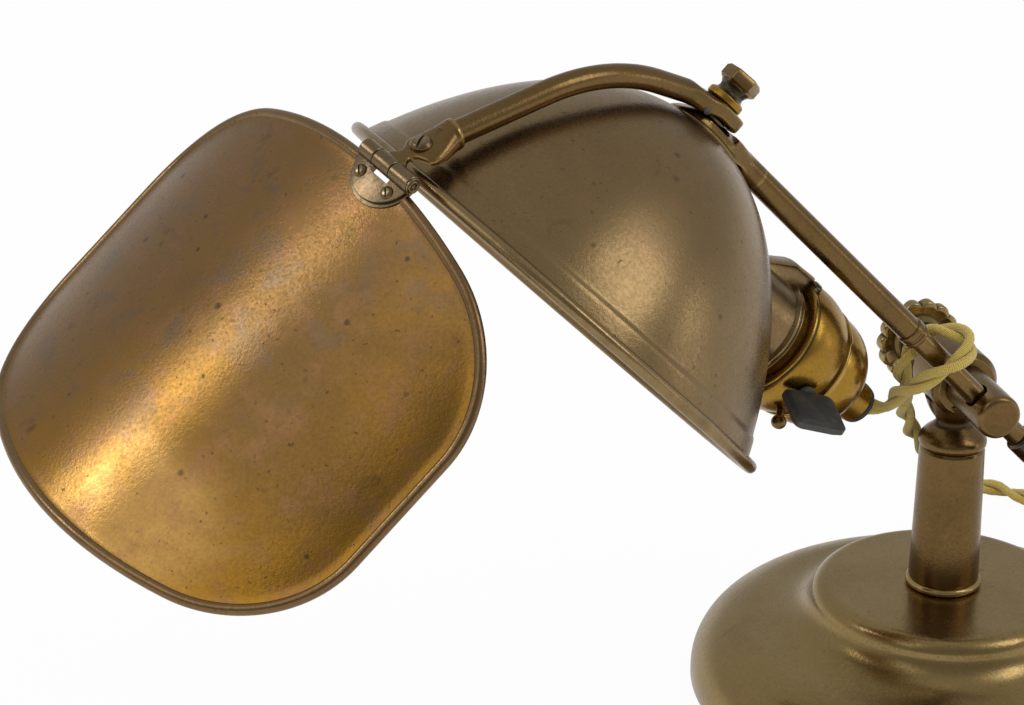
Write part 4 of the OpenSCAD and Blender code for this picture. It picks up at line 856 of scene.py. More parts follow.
# %% Knuckle and clamp
cap_line = [(0, 95.9), *rounded([(10.6, 95.9), (11.2, 95.9, 0.2), (11.75, 96.7, 0.5)])]
cap_line += curve((11.8, 97), (12.2, 99.4), (10.2, 100.9), (7.9, 102.7), 14)[1:]
cap_line += curve((7.4, 103.1), (6.1, 103.9), (6.0, 105.2), (6.9, 106.6), 8)
cap_line += curve((7.3, 107.1), (8.4, 108.6), (9.6, 110.6), (10.6, 114), 8) + [(0, 114)]
barrel_line = rounded([(4.1, -12), (10.6, -12, 0.3), (12, -10.6, 1.2), (12, 6.6, 1.4), (10.2, 9, 0.6), (4.1, 9)])
across = placed(turned(barrel_line + [(4.1, 0)], 112, closed=True), shift(0, 0, KNUCKLE_Z) @ turn("X", 90))
casting = joined(turned(cap_line, 112), across)
piece("knuckle_casting", casting, "swivel", "brown_brass", "knuckle", turn("Z", KNUCKLE_TURN))
sleeve_line = rounded([(0, 9.06), (7.1, 9.06, 0.2), (7.7, 9.7, 0.4), (7.7, 37, 2.2), (0, 37)], 8)
mouth_line = [(5.2, -14), (5.2, -6.9, 0.5), (4.1, -6.2, 0.8), (4.1, 6.2, 0.8), (5.2, 6.9, 0.5), (5.2, 14)]
rod_hole = turned(rounded([(0, -14), *mouth_line, (0, 14)]), 64)
sleeve = cut(turned(sleeve_line, 112), placed(rod_hole, CLAMP.inverted() @ ARM))
piece("clamp_barrel", sleeve, "clamp", "brown_brass", "clamp_sleeve", CLAMP)
print("knuckle and clamp made")

# %% [markdown]
# The thumb wheel is a main piece whose rim follows a rule: fourteen round lobes with narrow valleys between them, and
# a dished face. The wheel is first turned with plain round edges. A Geometry Nodes tree then moves each point in or
# out by its angle, more near the rim than near the hub, with the number and depth of the lobes as named inputs.

# %% Thumb wheel
LOBES = 14
n, given, result = new_tree("lobes on a rim", Lobes="Float", Depth="Float", Root="Float", Rim="Float")
xyz = n.split(n.add("GeometryNodeInputPosition").outputs[0])
angle = n.math("ARCTAN2", xyz[1], xyz[0])
wave = n.math("ABSOLUTE", n.math("COSINE", n.times(angle, n.times(given["Lobes"], 0.5))))
valley = n.minus(1.0, n.math("POWER", wave, 0.75))
flat = n.add("ShaderNodeCombineXYZ", {0: xyz[0], 1: xyz[1]}).outputs[0]
far = n.add("ShaderNodeVectorMath", {0: flat}, operation="LENGTH").outputs["Value"]
near_rim = n.add("ShaderNodeMapRange", {"Value": far, "From Min": given["Root"], "From Max": given["Rim"]}).outputs[0]
pull = n.times(n.times(valley, near_rim), n.times(given["Depth"], -1.0))
moved = n.add("ShaderNodeVectorMath", {0: flat, 3: pull}, operation="SCALE").outputs[0]
bent = n.add("GeometryNodeSetPosition", {"Geometry": given["Geometry"], "Offset": moved}).outputs[0]
lobe_tree = close_tree(n, given, result, bent)
wheel_line = [(4.05, 13.1), (6.6, 13.1, 0.2), (7, 13.6, 0.3), (7, 33.6, 1.4), (9.6, 34.6, 1.6), (12.2, 33.5, 1.2)]
wheel_line += [(13.4, 33, 0.8), (15.2, 33.3, 1.5), (15.2, 37.6, 1.6), (13, 38, 1), (9, 37, 2), (7, 37.9, 0.8)]
wheel = turned(rounded(wheel_line + [(4.05, 38)], 6) + [(4.05, 25)], LOBES * 16, closed=True)
wheel = grown(lobe_tree, wheel, "base_brass", Lobes=float(LOBES), Depth=0.105, Root=11.5 * MM, Rim=15.2 * MM)
piece("scalloped_wheel", wheel, "wheel", "base_brass", "thumb_wheel", CLAMP @ turn("X", 180), sharp=60)
print("wheel points", len(wheel[0]))

# %% [markdown]
# The arm is a plain rod in a sliding tube. Both are turned, with small roundings at their ends: a ring closes the mouth
# of the tube, and a dark stop keeps the rod from falling out of the clamp.

# %% Rod and tube
rod_line = rounded([(0, -31), (3.7, -31, 0.5), (3.7, 116, 0.5), (0, 116)])
piece("arm_bar", turned(rod_line, 72), "rod", "brown_brass", "arm_rod", ARM)
stop_line = [(3.72, -30), (4.6, -30, 0.3), (5, -29.2, 0.5), (5, -27.6, 0.3), (4.4, -27.2, 0.2), (4.4, -26.4, 0.2)]
stop_line += [(5, -26, 0.3), (5, -17.9, 0.7), (4.2, -17, 0.3), (3.72, -17)]
spun("rod_end_stop", rounded(stop_line), 72, "rod", "dark_brass", "rod_stop", ARM)
tube_line = rounded([(3.76, 38.8), (4.1, 38.8, 0.15), (4.3, 39.1, 0.2), (4.3, 124.2), (3.76, 124.2)])
spun("sliding_tube", tube_line, 72, "head", "brown_brass", "arm_tube", HEAD)
ring_line = [(4.32, 38.8), (4.6, 38.8, 0.15), (4.78, 39.2, 0.2), (4.78, 40.2, 0.15), (4.55, 40.5, 0.12)]
ring_line += [(4.55, 41.2, 0.12), (4.78, 41.5, 0.15), (4.78, 43.3, 0.25), (4.45, 43.8, 0.2), (4.32, 43.8)]
spun("tube_mouth_ring", rounded(ring_line), 72, "head", "brown_brass", "tube_ring", HEAD)
print("arm made")

# %% [markdown]
# At the crown the tube is hammered flat into a tongue that lies on the shade and ends in a point beyond the screw. Its
# sections go from a circle to a low plate, so it is lofted, and it stays below the path of the arm above. Over it sit
# a dark washer, the eye of the visor arm, and a screw with a collar, a hollow neck and a six-sided head with chamfered
# corners.

# %% Tongue and crown screw
CROWN, TONGUE_HALF, TONGUE_TOP, AROUND = 54, 8.6, 4.5, 48
tongue = []
for k in range(65):
    x = -27 if k == 0 else mix(-26.95, 13.6, (k - 1) / 63)
    flat_part = ease((x + 22) / 11)
    tube_r = 4.2 if k == 0 else 4.33
    tube_z = 0.3 + math.sin(math.radians(1)) * x
    half_y = mix(tube_r, TONGUE_HALF, ease((x + 22) / 14))
    top = mix(tube_z + tube_r, TONGUE_TOP, held((x + 22) / 14))
    if x > 0:
        half_y = TONGUE_HALF * (1 - (x / 13.8) ** 2.2)
        top = mix(TONGUE_TOP, -1.1, max(0.0, (x - 2) / 11.6) ** 1.2)
    under = mix(tube_r, 0.0, ease((x + 22) / 8))
    crest = max(top - mix(tube_z, 0.6 - x * x / (2 * CROWN), flat_part), 0.05)
    section = []
    for m in range(AROUND):
        c, s = polar(1, 360 * m / AROUND)
        y = max(half_y, 0.12) * c
        seat = mix(tube_z, -(x * x + y * y) / (2 * CROWN), flat_part)
        if m < AROUND // 2:
            brink = seat + 0.6 * flat_part * mix(1, 0.3, ease((x - 5) / 8))
            z = brink + crest * mix(s, ease((1 - abs(c)) / 0.24), flat_part)
        else:
            z = seat + under * s
        past = max(0.0, abs(math.degrees(math.atan2(y, x))) - 98)
        ahead, aside = polar(math.hypot(x, y), past)
        if ahead > 0 and aside < 8.8:
            z = min(z, 4.46 - 0.036 * ahead * ahead)
        section.append((x, y, z))
    tongue.append(section)
piece("arm_tongue_flat", lofted(tongue), "head", "brown_brass", "arm_tongue", SHADE)
spacer_line = rounded([(2.6, 2.52), (5.2, 2.52, 0.2), (5.5, 2.9, 0.3), (5.5, 4.1, 0.3), (5.2, 4.5, 0.2), (2.6, 4.5)])
spun("crown_washer", spacer_line, 64, "head", "dark_brass", "crown_spacer", SHADE)
shank = [(0, -6.9), (2.5, -6.9, 0.3), (2.5, 9.6), (5.9, 9.62, 0.2), (6.4, 10.1, 0.3), (6.3, 11.9, 0.4)]
shank += [(5.6, 12.5, 0.3), (0, 12.5)]
neck = [(0, 12.3), (5.3, 12.35), (4.6, 13.2, 1.0), (4.4, 14.4, 1.5), (5.4, 15.9, 0.8), (5.4, 16.2), (0, 16.2)]
six = []
for z, r in ((15.85, 5.4), (16.0, 5.9), (16.9, 6.8), (19.9, 6.8), (20.9, 5.9), (21.0, 5.3)):
    corners = [polar(r, 60 * k, 0.5) for k in range(-1, 7)]
    six.append([(p.x, p.y, z) for p in rounded(corners, 4)[1:-1]])
# The neck is drawn in the dark brass as painted shade under the screw head.
piece("crown_bolt_neck", turned(rounded(neck), 72), "head", "dark_brass", "crown_screw", SHADE)
piece("crown_bolt_head", lofted(six), "head", "brown_brass", "crown_screw", SHADE @ turn("Z", 40))
piece("crown_bolt", turned(rounded(shank), 72), "head", "gold_brass", "crown_screw", SHADE)
print("crown made")

# %% [markdown]
# The shade is a deep spun dome. Its profile is a conic curve: a parabola-like crown that runs out to a nearly straight
# skirt, with a faint crease above the rolled rim. Both faces are drawn, and the opening for the lamp holder is cut out.


# %% Shade
def plain_bar(r, low, high, sides):
    return turned([(0, low), (r, low), (r, high), (0, high)], sides)


DEPTH, MOUTH, WALL = 71, 78.7, 0.9
FLAT = (2 * CROWN * DEPTH - MOUTH**2) / DEPTH**2


def dome(s, inset=0.0):
    r = math.sqrt(2 * CROWN * s - FLAT * s * s)
    k = (CROWN - FLAT * s) / r
    h = math.hypot(1, k)
    return Vector((r - inset / h, -(s + inset * k / h)))


depths = [mix(0.061, DEPTH - 1.2, (k / 130) ** 1.6) for k in range(131)]
outside = [dome(s, -0.3 - 0.3 * math.tanh((s - 63.6) / 0.45)) for s in depths]
rim = arc((80.8, -71), 2, 2, 145, -145, 26)
inside = [dome(s, WALL) for s in depths if s > 0.1]
shade_line = outside + rim + [dome(71.8, WALL)] + inside[::-1] + [(2.56, -0.96)]
opening = placed(plain_bar(17.65, -60, 30, 96), SHADE.inverted() @ SOCKET)
shade = cut(turned(shade_line, 224, closed=True), opening)
piece("shade_dome", shade, "head", "shade_brass", "shade_shell", SHADE, sharp=50)
print("shade points", len(shade[0]))

# %% [markdown]
# The lamp holder is a row of turned shells on one axis: the fitter with a ringed end, the bulging body, the cap that
# closes in a curve to a short tail, and a dark bush where the cord comes out. A folded clip with a small screw holds
# the fitter, and a black key turns the switch.

# %% Socket
fitter_line = [(16.5, -42), (17.5, -42, 0.2), (17.5, -12.2, 0.4), (17.9, -11.8, 0.2), (18.7, -11.3, 0.5)]
fitter_line += [(18.7, -10.3, 0.5), (18.0, -9.9, 0.2), (18.5, -9.4, 0.3), (18.5, -8.9, 0.3), (17.2, -8.4, 0.4)]
fitter_line = rounded(fitter_line + [(17.2, -6.84), (16.5, -6.84)]) + [(16.5, -25)]
spun("fitter_collar", fitter_line, 128, "head", "shade_brass", "fitter_tube", SOCKET)
shell_line = rounded([(16.5, -6.8), (20.6, -6.8, 0.3), (21.5, -6.5, 0.4), (21.8, -5.9, 0.3), (21.2, -5.1, 0.3)])
shell_line += curve((21.3, -4.8), (23.4, -2.6), (23.6, 7.0), (20.2, 12.6), 24)[1:]
lip_line = [(20.1, 12.7), (20.2, 12.9, 0.2), (20.9, 13.2, 0.3), (20.9, 14.0, 0.3), (20.3, 14.3, 0.2), (19.4, 14.3)]
shell_line += rounded(lip_line + [(19.4, -5.8), (16.5, -5.8)])
key_hole = placed(plain_bar(2.3, 10, 30, 32), SOCKET.inverted() @ KEY)
shell = cut(turned(shell_line, 128, closed=True), key_hole)
piece("socket_body", shell, "head", "gold_brass", "socket_shell", SOCKET, sharp=45)
cap_line = curve((19.9, 14.32), (21.4, 24.6), (15.8, 31.4), (8.4, 35.6), 28)
tail_line = [(8.0, 35.9), (7.6, 36.1, 0.3), (7.3, 37, 0.6), (7.3, 43.6, 0.4), (6.9, TAIL_END, 0.2), (4.6, TAIL_END)]
cap_line += rounded(tail_line + [(4.6, 36)])
cap_line += curve((5, 34), (14.8, 30.2), (20.2, 24), (19.2, 14.32), 14)
spun("socket_dome", cap_line, 128, "head", "gold_brass", "socket_cap", SOCKET, sharp=45)
bush_line = [(4.3, 44.22), (6.5, 44.22, 0.2), (7.1, 44.9, 0.4), (6.8, 46.1, 0.5), (5.9, 46.6, 0.4), (4.6, 46.3, 0.4)]
spun("cord_bush", rounded(bush_line + [(4.3, 45)]), 72, "head", "black_moulding", "socket_bushing", SOCKET)
ball_line = rounded([(0, 20.9), (1.4, 20.9, 0.1), (1.4, 24.3, 0.3)])
ball_line += arc((0, 26.2), 2.6, 2.4, -52, 90, 12)[:-1] + [(0, 28.6)]
BALL = SOCKET @ shift(0, 0, 8.5) @ turn("Z", 322) @ turn("Y", 90)
piece("ball_knob", turned(ball_line, 40), "head", "brown_brass", "ball_screw", BALL)
CLIP_FOOT, CLIP_UNDER = 17.9, 17.0
fan = [mix(-22, 9, m / 24) for m in range(25)]
lifts = [max(0.0, 1 - abs(m / 12 - 1) ** 9.0) for m in range(25)]
shoe = []
for k in range(25):
    z = mix(-27, -5.9, k / 24)
    high = mix(18.2, 24.0, held((z + 27) / 12))
    low = mix(CLIP_UNDER, 21.9, ease((z + 7.2) / 0.6))
    section = [polar(mix(CLIP_FOOT, high, lift), a, z) for a, lift in zip(fan, lifts)]
    shoe.append(section + [polar(low, a, z) for a in fan[::-4]])
piece("fitter_strap", lofted(shoe), "head", "shade_brass", "fitter_clip", SOCKET @ turn("Z", 184), sharp=50)
knob_line = [(0, 20.4), (1.9, 20.4), (2.0, 22.4, 0.3), (2.1, 22.6, 0.3), (2.1, 23.2, 0.5), (1.4, 23.7, 0.4), (0, 23.8)]
KNOB = SOCKET @ turn("Z", 194) @ shift(0, 0, -5.0) @ turn("Y", 90)
piece("clip_knob", turned(rounded(knob_line), 40), "head", "dark_brass", "clip_screw", KNOB)
KEY_ROUND = 2.6
paddle = []
for x, inset in ((-2.3, 1.7), (-2.2, 1.3), (-1.1, 0.25), (-0.9, 0.0), (0.9, 0.0), (1.1, 0.25), (2.2, 1.3), (2.3, 1.7)):
    low, high, wide = 24.2 + inset, 41.2 - inset, 9.5 - inset
    corners = [(y, z, KEY_ROUND) for y, z in ((wide, low), (wide, high), (-wide, high), (-wide, low))]
    outline = rounded([(0, low), *corners, (0, low)], 6)
    paddle.append([(x, p.x, p.y) for p in outline[:-1]])
shaft = turned(rounded([(0, 18.9), (2, 18.9), (2, 23.4, 0.3), (3.2, 23.6, 0.3), (3.2, 25.4), (0, 25.4)]), 32)
piece("switch_key", joined(lofted(paddle), shaft), "key", "black_moulding", "turn_key", KEY)
print("socket made")

# %% [markdown]
# Inside the shade a clear bulb sits in its brass cap, with a carbon filament in one long loop. The glass is a thin
# double wall. The filament is a fine wire swept along its line by Geometry Nodes, and the same tree serves the wired
# edge of the visor later.

# %% Wire tree, bulb and filament
n, given, result = new_tree("wire on a line", Wire_radius="Float", Sides="Int")
path = n.add("GeometryNodeMeshToCurve", {"Mesh": given["Geometry"]}).outputs[0]
size = {"Resolution": given["Sides"], "Radius": given["Wire radius"]}
profile = n.add("GeometryNodeCurvePrimitiveCircle", size).outputs[0]
swept = n.add("GeometryNodeCurveToMesh", {"Curve": path, "Profile Curve": profile, "Fill Caps": True}).outputs[0]
wire_tree = close_tree(n, given, result, swept)


def wire(points, radius, finish, sides):
    lines = [(i, i + 1) for i in range(len(points) - 1)]
    return grown(wire_tree, (points, []), finish, lines, Wire_radius=radius * MM, Sides=sides)


GLASS, BULB_R, BULB_Z = 0.7, 22.5, -84
glass = curve((12.5, -33.8), (12.5, -50), (BULB_R, -64), (BULB_R, BULB_Z), 22)
glass += arc((0, BULB_Z), BULB_R, BULB_R, -6, -90, 18)[:-1]
inner = [(max(p.x - GLASS, 0), p.y + (GLASS if p.y < BULB_Z else 0)) for p in glass]
tip = [(0, BULB_Z - BULB_R), (0, BULB_Z - BULB_R + GLASS)]
piece("bulb_envelope", turned(glass + tip + inner[::-1], 72), "head", "lamp_glass", "bulb_glass", SOCKET)
angles = [2 * math.pi * (0.02 + 0.96 * k / 60) for k in range(61)]
loop = [(6 * math.sin(a), 5 * math.sin(2 * a), -38 - 30 * (1 - math.cos(a))) for a in angles]
piece("filament", wire(loop, 0.22, "dark_brass", 8), "head", "dark_brass", (), SOCKET)
print("bulb made")

# %% [markdown]
# The visor arm is a bent tube. At the crown it is forged into a flat eye, and at its lower end a flattened sleeve
# carries it on to the hinge in the shape of a spoon. All of this is one smooth loft whose sections change from a
# boxy oval to a circle and back to a flat oval.

# %% Visor arm
ARM_R, EYE_R, EYE_Z, SPOON, ARM_FALL = 3.8, 8, 7.05, 19, 57.6
arm_slope, arm_drop, arm_bend = math.radians(20), math.radians(ARM_FALL), 67
start_x, start_z = 7.0, 7.25
bend_x = arm_bend * (math.sin(arm_drop) - math.sin(arm_slope))
bend_z = arm_bend * (math.cos(arm_drop) - math.cos(arm_slope))
to_x, to_z = HINGE_X - start_x - bend_x, HINGE_Z - start_z - bend_z
det = -math.cos(arm_slope) * math.sin(arm_drop) + math.sin(arm_slope) * math.cos(arm_drop)
first_run = (-to_x * math.sin(arm_drop) - to_z * math.cos(arm_drop)) / det
last_run = (math.cos(arm_slope) * to_z + math.sin(arm_slope) * to_x) / det
ARCH_LAST = VISOR_ARM @ shift(HINGE_X, 0, HINGE_Z) @ turn("Y", 90 + ARM_FALL) @ shift(0, 0, -last_run)
arm_end = last_run - SPOON


def arm_section(x, z, lean, half_y=ARM_R, half_z=ARM_R, power=2):
    return [(x + h * math.sin(lean), y, z + h * math.cos(lean)) for y, h in oval(half_y, half_z, power)]


def on_first_run(s):
    return start_x + s * math.cos(arm_slope), start_z - s * math.sin(arm_slope)


eye = []
for k in range(41):
    x = -7.96 + 26.9 * k / 40
    if x < 0:
        half_y = EYE_R * (1 - (abs(x) / EYE_R) ** 4) ** 0.25
    else:
        half_y = mix(ARM_R, EYE_R, 0.5 + 0.5 * math.cos(math.pi * min(x, 18.5) / 18.5))
    t, bent = ease((x - 3) / 15), ease((x - 1) / 9)
    z = EYE_Z if x < 3 else EYE_Z - math.tan(arm_slope) * (x - 3) * bent
    z = mix(z, start_z - math.tan(arm_slope) * (x - start_x), ease((x - 5) / 12))
    eye.append(arm_section(x, z, arm_slope * bent, half_y, mix(2.5, ARM_R, t), mix(6.0, 2.0, t)))
for k in range(1, 4):
    eye.append(arm_section(*on_first_run(mix(12.8, first_run, k / 4)), arm_slope))
corner_x, corner_z = on_first_run(first_run)
for k in range(25):
    a = mix(arm_slope, arm_drop, k / 24)
    x = corner_x + arm_bend * (math.sin(a) - math.sin(arm_slope))
    z = corner_z + arm_bend * (math.cos(a) - math.cos(arm_slope))
    eye.append(arm_section(x, z, a))
eye.append(arm_section(HINGE_X - SPOON * math.cos(arm_drop), HINGE_Z + SPOON * math.sin(arm_drop), arm_drop))
# A small stud stands for a pin in the notch under the eye. Its black is partly painted shade of that notch.
stud = turned([polar(1.6, -88), (1.4, 0.2), (1.3, 0.7), (0.8, 1.2), (0, 1.4)], 24)
piece("eye_stud", stud, "visor_arm", "black_moulding", (), VISOR_ARM @ shift(8.8, 5.2, 3.7) @ turn("X", -90))
piece("visor_arm_tube", lofted(eye), "visor_arm", "brown_brass", ("visor_arm", "arm_boss"), VISOR_ARM)
stations = [(-4.9, 4.0, 4.0, 0), (-4.85, 4.7, 4.6, 0), (-4.3, 5.0, 4.8, 0), (-3.4, 5.05, 4.8, 0), (-3.1, 4.95, 4.6, 0)]
stations += [(-2.2, 5.1, 4.5, 0.1), (0, 5.4, 3.9, 0.4), (2.5, 5.8, 2.9, 0.5), (5, 6.0, 2.0, 0.3), (7.5, 6.0, 1.5, 0)]
stations += [(8.8, 5.7, 1.35, 0), (9.8, 4.9, 1.25, 0), (10.7, 3.7, 1.25, 0), (11.7, 2.9, 1.2, 0), (12.8, 2.6, 1.2, 0)]
stations += [(13.9, 3.0, 1.2, 0), (15.0, 4.3, 1.2, 0), (15.7, 4.6, 1.2, 0), (16.3, 3.8, 1.2, 0), (17.4, 3.7, 1.2, 0)]
spoon = []
for z, half_y, half_x, mid in stations:
    near = 1.1 * held((z + 4) / 10) * (1 - ease((z - 8.5) / 3))
    section = []
    for y, x in oval(half_y, half_x, mix(2.0, 3.6, ease((z + 2) / 8)), 56):
        section.append((mid + x + 0.05 * near * max(0.0, y - 2) ** 2, y + near * (1 + 0.12 * y), arm_end + z))
    spoon.append(section)
piece("arm_spoon", lofted(spoon), "visor_arm", "brown_brass", ("arm_ferrule", "hinge_strap"), ARCH_LAST)


def block(half, low, high, depth):
    return prism([(-half, low), (half, low), (half, high), (-half, high)], depth)


head_line = [(0, -1.2), (1.2, -1.2), (1.2, 1.22), (3.4, 1.24, 0.15), (3.45, 1.9, 0.5), (2.6, 3.0, 1.0), (0, 3.5)]
slot_cut = placed(block(4, -0.4, 0.4, 1.6), turn("Z", 35) @ shift(0, 0, 3.5))
pan_screw = cut(turned(rounded(head_line, 6), 56), slot_cut)
SCREW = ARCH_LAST @ shift(0, 0, arm_end + 7) @ turn("Y", -90)
piece("strap_pan_screw", pan_screw, "visor_arm", "hinge_brass", "strap_screw", SCREW)
print("visor arm runs", round(first_run, 1), round(last_run, 1))

# %% [markdown]
# The hinge has three barrels on one pin, with fine gaps between them. The middle one belongs to the arm and the outer
# two to the D-shaped leaf, which is screwed to the visor over a slightly larger backing plate. The leaf's notch lets
# the light through. The two screws are copies of one turned screw, placed by Geometry Nodes on the leaf's points.

# %% Hinge
ACROSS = turn("X", 90)
EDGEWAYS = Matrix(((0, 0, 1, 0), (1, 0, 0, 0), (0, 1, 0, 0), (0, 0, 0, 1)))
BORE, BARREL_END, BARREL_R, CHAMFER = 1.5, 2.7, 2.95, 0.25


def barrel(low, high):
    line = [(BORE, low), (BARREL_END, low, 0.12), (BARREL_R, low + CHAMFER, 0.15)]
    line += [(BARREL_R, high - CHAMFER, 0.15), (BARREL_END, high, 0.12), (BORE, high)]
    return placed(turned(rounded(line) + [(BORE, (low + high) / 2)], 56, closed=True), ACROSS)


piece("hinge_middle", barrel(-3.8, 3.8), "visor_arm", "hinge_brass", "hinge_strap", HINGE)
pin_line = [(0, -13.3), (0.5, -13.3, 0.1), (0.7, -12.95, 0.1), (1.1, -12.9, 0.1), (1.35, -13.25, 0.15)]
pin_line += [(1.75, -13.25, 0.15), (1.95, -12.85, 0.1), (2.15, -12.8, 0.1), (2.35, -13.1, 0.15), (2.6, -12.9, 0.15)]
pin_line = rounded(pin_line + [(2.6, -12.52, 0.1), (1.4, -12.5), (1.4, 10.3), (1.2, 10.5, 0.1), (0, 10.5)])
pin_body = frame["nodes"]["hinge_pin"]["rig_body"]
piece("hinge_rivet", turned(pin_line, 48), pin_body, "hinge_brass", "hinge_pin", HINGE @ ACROSS)


def d_plate(half, length, top, x0, x1, soft):
    outline = arc((0, half - length), half, half, 180, 360, 40) + [(half, top), (-half, top)]
    form = placed(prism(outline, x1 - x0), shift((x0 + x1) / 2, 0, 0) @ EDGEWAYS)
    return cut(softened(form, soft), placed(block(4.1, -4.25, 6, 12), EDGEWAYS))


leaf = d_plate(11.7, 12.0, 0.4, -2.0, -0.75, 0.25)
back_plate = d_plate(12.2, 13.2, -1, -3.0, -1.95, 0.2)
# The leaf wears the darker copy of the hinge brass, which is painted shade.
piece("hinge_d_leaf", joined(leaf, back_plate), "visor", "shaded_leaf_brass", "hinge_leaf", VISOR)
piece("hinge_wings", joined(barrel(-12.5, -4.1), barrel(4.1, 10.3)), "visor", "hinge_brass", "hinge_leaf", VISOR)
screw_line = [(0, -0.5), (1.6, -0.5), (1.6, 0.0), (2.1, 0.02, 0.1), (1.95, 0.45, 0.25), (1.2, 0.85, 0.4), (0, 1.0)]
slot_cut = placed(block(3, -0.3, 0.3, 1.2), turn("Z", 50) @ shift(0, 0, 1.15))
screw = placed(cut(turned(rounded(screw_line), 40), slot_cut), turn("Y", 90))
screws = copies_of(point_tree, screw, [(-0.75, s * 6.5, -6.25) for s in (-1, 1)], "hinge_brass")
piece("leaf_screw_pair", screws, "visor", "hinge_brass", "leaf_screws", VISOR)
print("hinge made, screw points", len(screws[0]))

# %% [markdown]
# The visor is a brass sheet bent to a shallow cylinder, with a wire rolled into its edge. Its outline has two slow
# arcs, two straight sides and round corners. The sheet is made of rings that shrink from the outline to the middle, so
# its mesh follows the edge, and each point is then laid on the cylinder. Near the edge the sheet lifts to the wire.

# %% Visor
HALF, LONG, ROUND, START, WIRE, SKIN = 82.5, 139.6, 46, 1.2, 1.8, 0.5
end_r = [(HALF**2 + rise**2) / (2 * rise) for rise in (20.9, 21.7)]


def visor_outline(inset, steps):
    x = HALF - ROUND
    up = [math.sqrt((r - ROUND) ** 2 - x * x) for r in end_r]
    turn_at = [math.degrees(math.atan2(h, x)) for h in up]
    c1, c2 = (0, -START - end_r[0]), (0, -START - LONG + end_r[1])
    f1, f2 = c1[1] + up[0], c2[1] - up[1]
    r = ROUND - inset
    out = arc(c1, end_r[0] - inset, end_r[0] - inset, 90, turn_at[0], steps)[:-1]
    out += arc((x, f1), r, r, turn_at[0], 0, steps)
    out += arc((x, f2), r, r, 0, -turn_at[1], steps)
    out += arc(c2, end_r[1] - inset, end_r[1] - inset, -turn_at[1], -90, steps)[1:]
    return out + [Vector((-p.x, p.y)) for p in out[-2:0:-1]]


def on_sheet(y, z, lift):
    r = BEND - SKIN + lift
    a = math.asin(max(-1.0, min(1.0, y / (BEND - SKIN))))
    return Vector((r * math.cos(a) - BEND, r * math.sin(a), z))


edge_line = visor_outline(WIRE, 22)
centre = Vector((0, -START - LONG / 2))
rings = [0.9985, 0.985, 0.972, 0.955, 0.93, 0.88, 0.8, 0.7, 0.58, 0.45, 0.32, 0.19, 0.08]


def skin_of(lift, bead):
    points = []
    for k in rings:
        rise = bead * math.exp(-(((1 - k) / 0.021) ** 2))
        points += [on_sheet(*(centre + (p - centre) * k), lift + rise) for p in edge_line]
    return points + [on_sheet(*centre, lift)]


outer, inner = skin_of(SKIN, 0.75), skin_of(-SKIN, -0.75)
count, layer = len(edge_line), len(outer)
faces = []
for first in (0, layer):
    rows = [range(first + i * count, first + (i + 1) * count) for i in range(len(rings))]
    for low, high in zip(rows, [*rows[1:], [first + layer - 1] * count]):
        faces += band_of(low, high)
faces += band_of(range(count), range(layer, layer + count))
notch_box = placed(block(13.4, -4.4, 20, 40), SHEET.inverted() @ VISOR @ EDGEWAYS)
sheet = cut((outer + inner, faces), notch_box)
piece("visor_sheet", sheet, "visor", "visor_brass", "visor_plate", SHEET, sharp=60)
spots = [on_sheet(p.x, p.y, 0) for p in visor_outline(WIRE, 40)]
in_visor = [VISOR.inverted() @ SHEET @ p for p in spots]
keep = [i for i, p in enumerate(in_visor) if not (abs(p.y) < 11.3 and p.z > -12)]
gap_at = next(i for i in range(len(keep)) if (keep[i] - keep[i - 1]) % len(spots) > 1)
keep = keep[gap_at:] + keep[:gap_at]
edge_wire = wire([spots[i] for i in keep], WIRE, "wire_brass", 14)
piece("visor_wire", edge_wire, "visor", "wire_brass", "visor_edge", SHEET)
print("visor points", len(sheet[0]), "wire from", keep[0], "to", keep[-1])

# %% [markdown]
# The studio is plain: a pale floor, a pale backdrop that is simply the world, and soft boxes: two high on the left, one
# high on the right and a small low one for the shade's mouth. Brass shows what is round it, so the world is brighter
# near the horizon than overhead for reflections, while the camera sees white.

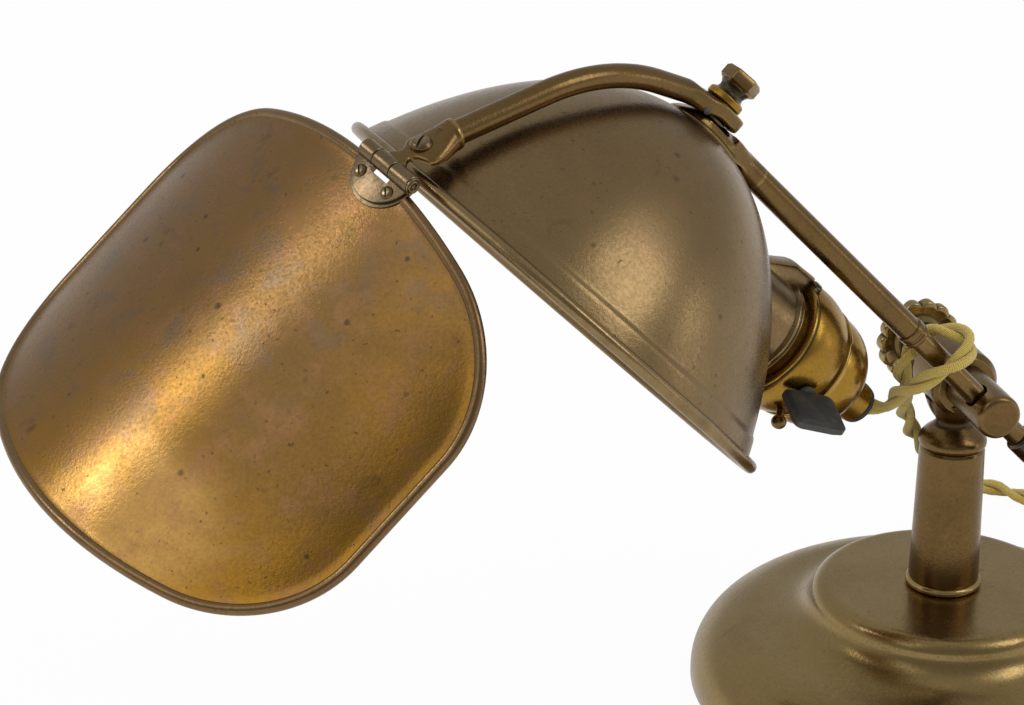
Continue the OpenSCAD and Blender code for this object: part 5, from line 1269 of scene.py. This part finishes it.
# %% Floor, world and lights
FLOOR, FLOOR_Z = 6, -0.0002
floor_mesh = bpy.data.meshes.new("floor")
corners = [(x * FLOOR, y * FLOOR, FLOOR_Z) for x, y in ((-1, -1), (1, -1), (1, 1), (-1, 1))]
floor_mesh.from_pydata(corners, [], [(0, 1, 2, 3)])
floor = linked("floor", floor_mesh)
n, shader = new_material("pale_floor")
n.tree.nodes.remove(shader)
paper = n.mix(n.grain(n.where(), 40, 4), (0.8, 0.8, 0.8, 1), (0.84, 0.84, 0.84, 1))
matt = n.add("ShaderNodeBsdfDiffuse", {"Color": paper}).outputs[0]
rays = n.add("ShaderNodeLightPath").outputs
power = n.span(rays["Is Glossy Ray"], 0, 1, 1.0, 0.74)
glow = n.add("ShaderNodeEmission", {"Color": (1, 1, 1, 1), "Strength": power}).outputs[0]
seen = n.most(rays["Is Camera Ray"], n.most(rays["Is Glossy Ray"], rays["Is Transmission Ray"]))
blend = n.add("ShaderNodeMixShader", {0: n.times(seen, 0.95), 1: matt, 2: glow}).outputs[0]
n.fill(n.tree.nodes["Material Output"], {0: blend})
floor_mesh.materials.append(finishes["pale_floor"][0])

world = bpy.data.worlds.new("studio")
scene.world = world
world.use_nodes = True
n = Nodes(world.node_tree)
ways = n.split(n.add("ShaderNodeTexCoord").outputs["Generated"])
studio = n.times(n.span(ways[2], 0.06, 0.2, 0.66, 0.47), n.span(ways[1], -0.9, -0.1, 0.55, 1.0))
rays = n.add("ShaderNodeLightPath").outputs
seen = n.most(rays["Is Camera Ray"], rays["Is Transmission Ray"])
soft = n.add("ShaderNodeMix", {0: rays["Is Glossy Ray"], 2: 0.9, 3: studio}).outputs[0]
strength = n.add("ShaderNodeMix", {0: seen, 2: soft, 3: 1.0}).outputs[0]
n.fill(n.tree.nodes["Background"], {"Color": (1, 1, 1, 1), "Strength": strength})


def soft_box(name, way, away, size, watts):
    light = bpy.data.lights.new(name, "AREA")
    light.shape = "RECTANGLE"
    light.size, light.size_y = size
    light.energy = watts
    obj = linked(name, light)
    aim = Vector((-0.06, -0.04, 0.14))
    way = Vector(way).normalized()
    obj.location = aim + way * away
    obj.rotation_euler = (-way).to_track_quat("-Z", "Y").to_euler()


soft_box("left_box", (-0.8, -0.08, 0.59), 1.1, (0.17, 0.3), 0.72)
soft_box("left_fill", (-0.57, -0.48, 0.67), 1.2, (0.7, 0.7), 0.95)
soft_box("right_box", (0.7, -0.3, 0.64), 1.1, (0.4, 0.55), 1.4)
soft_box("low_box", (0.98, -0.1, 0.17), 1.1, (0.14, 0.34), 0.22)
print("studio ready")
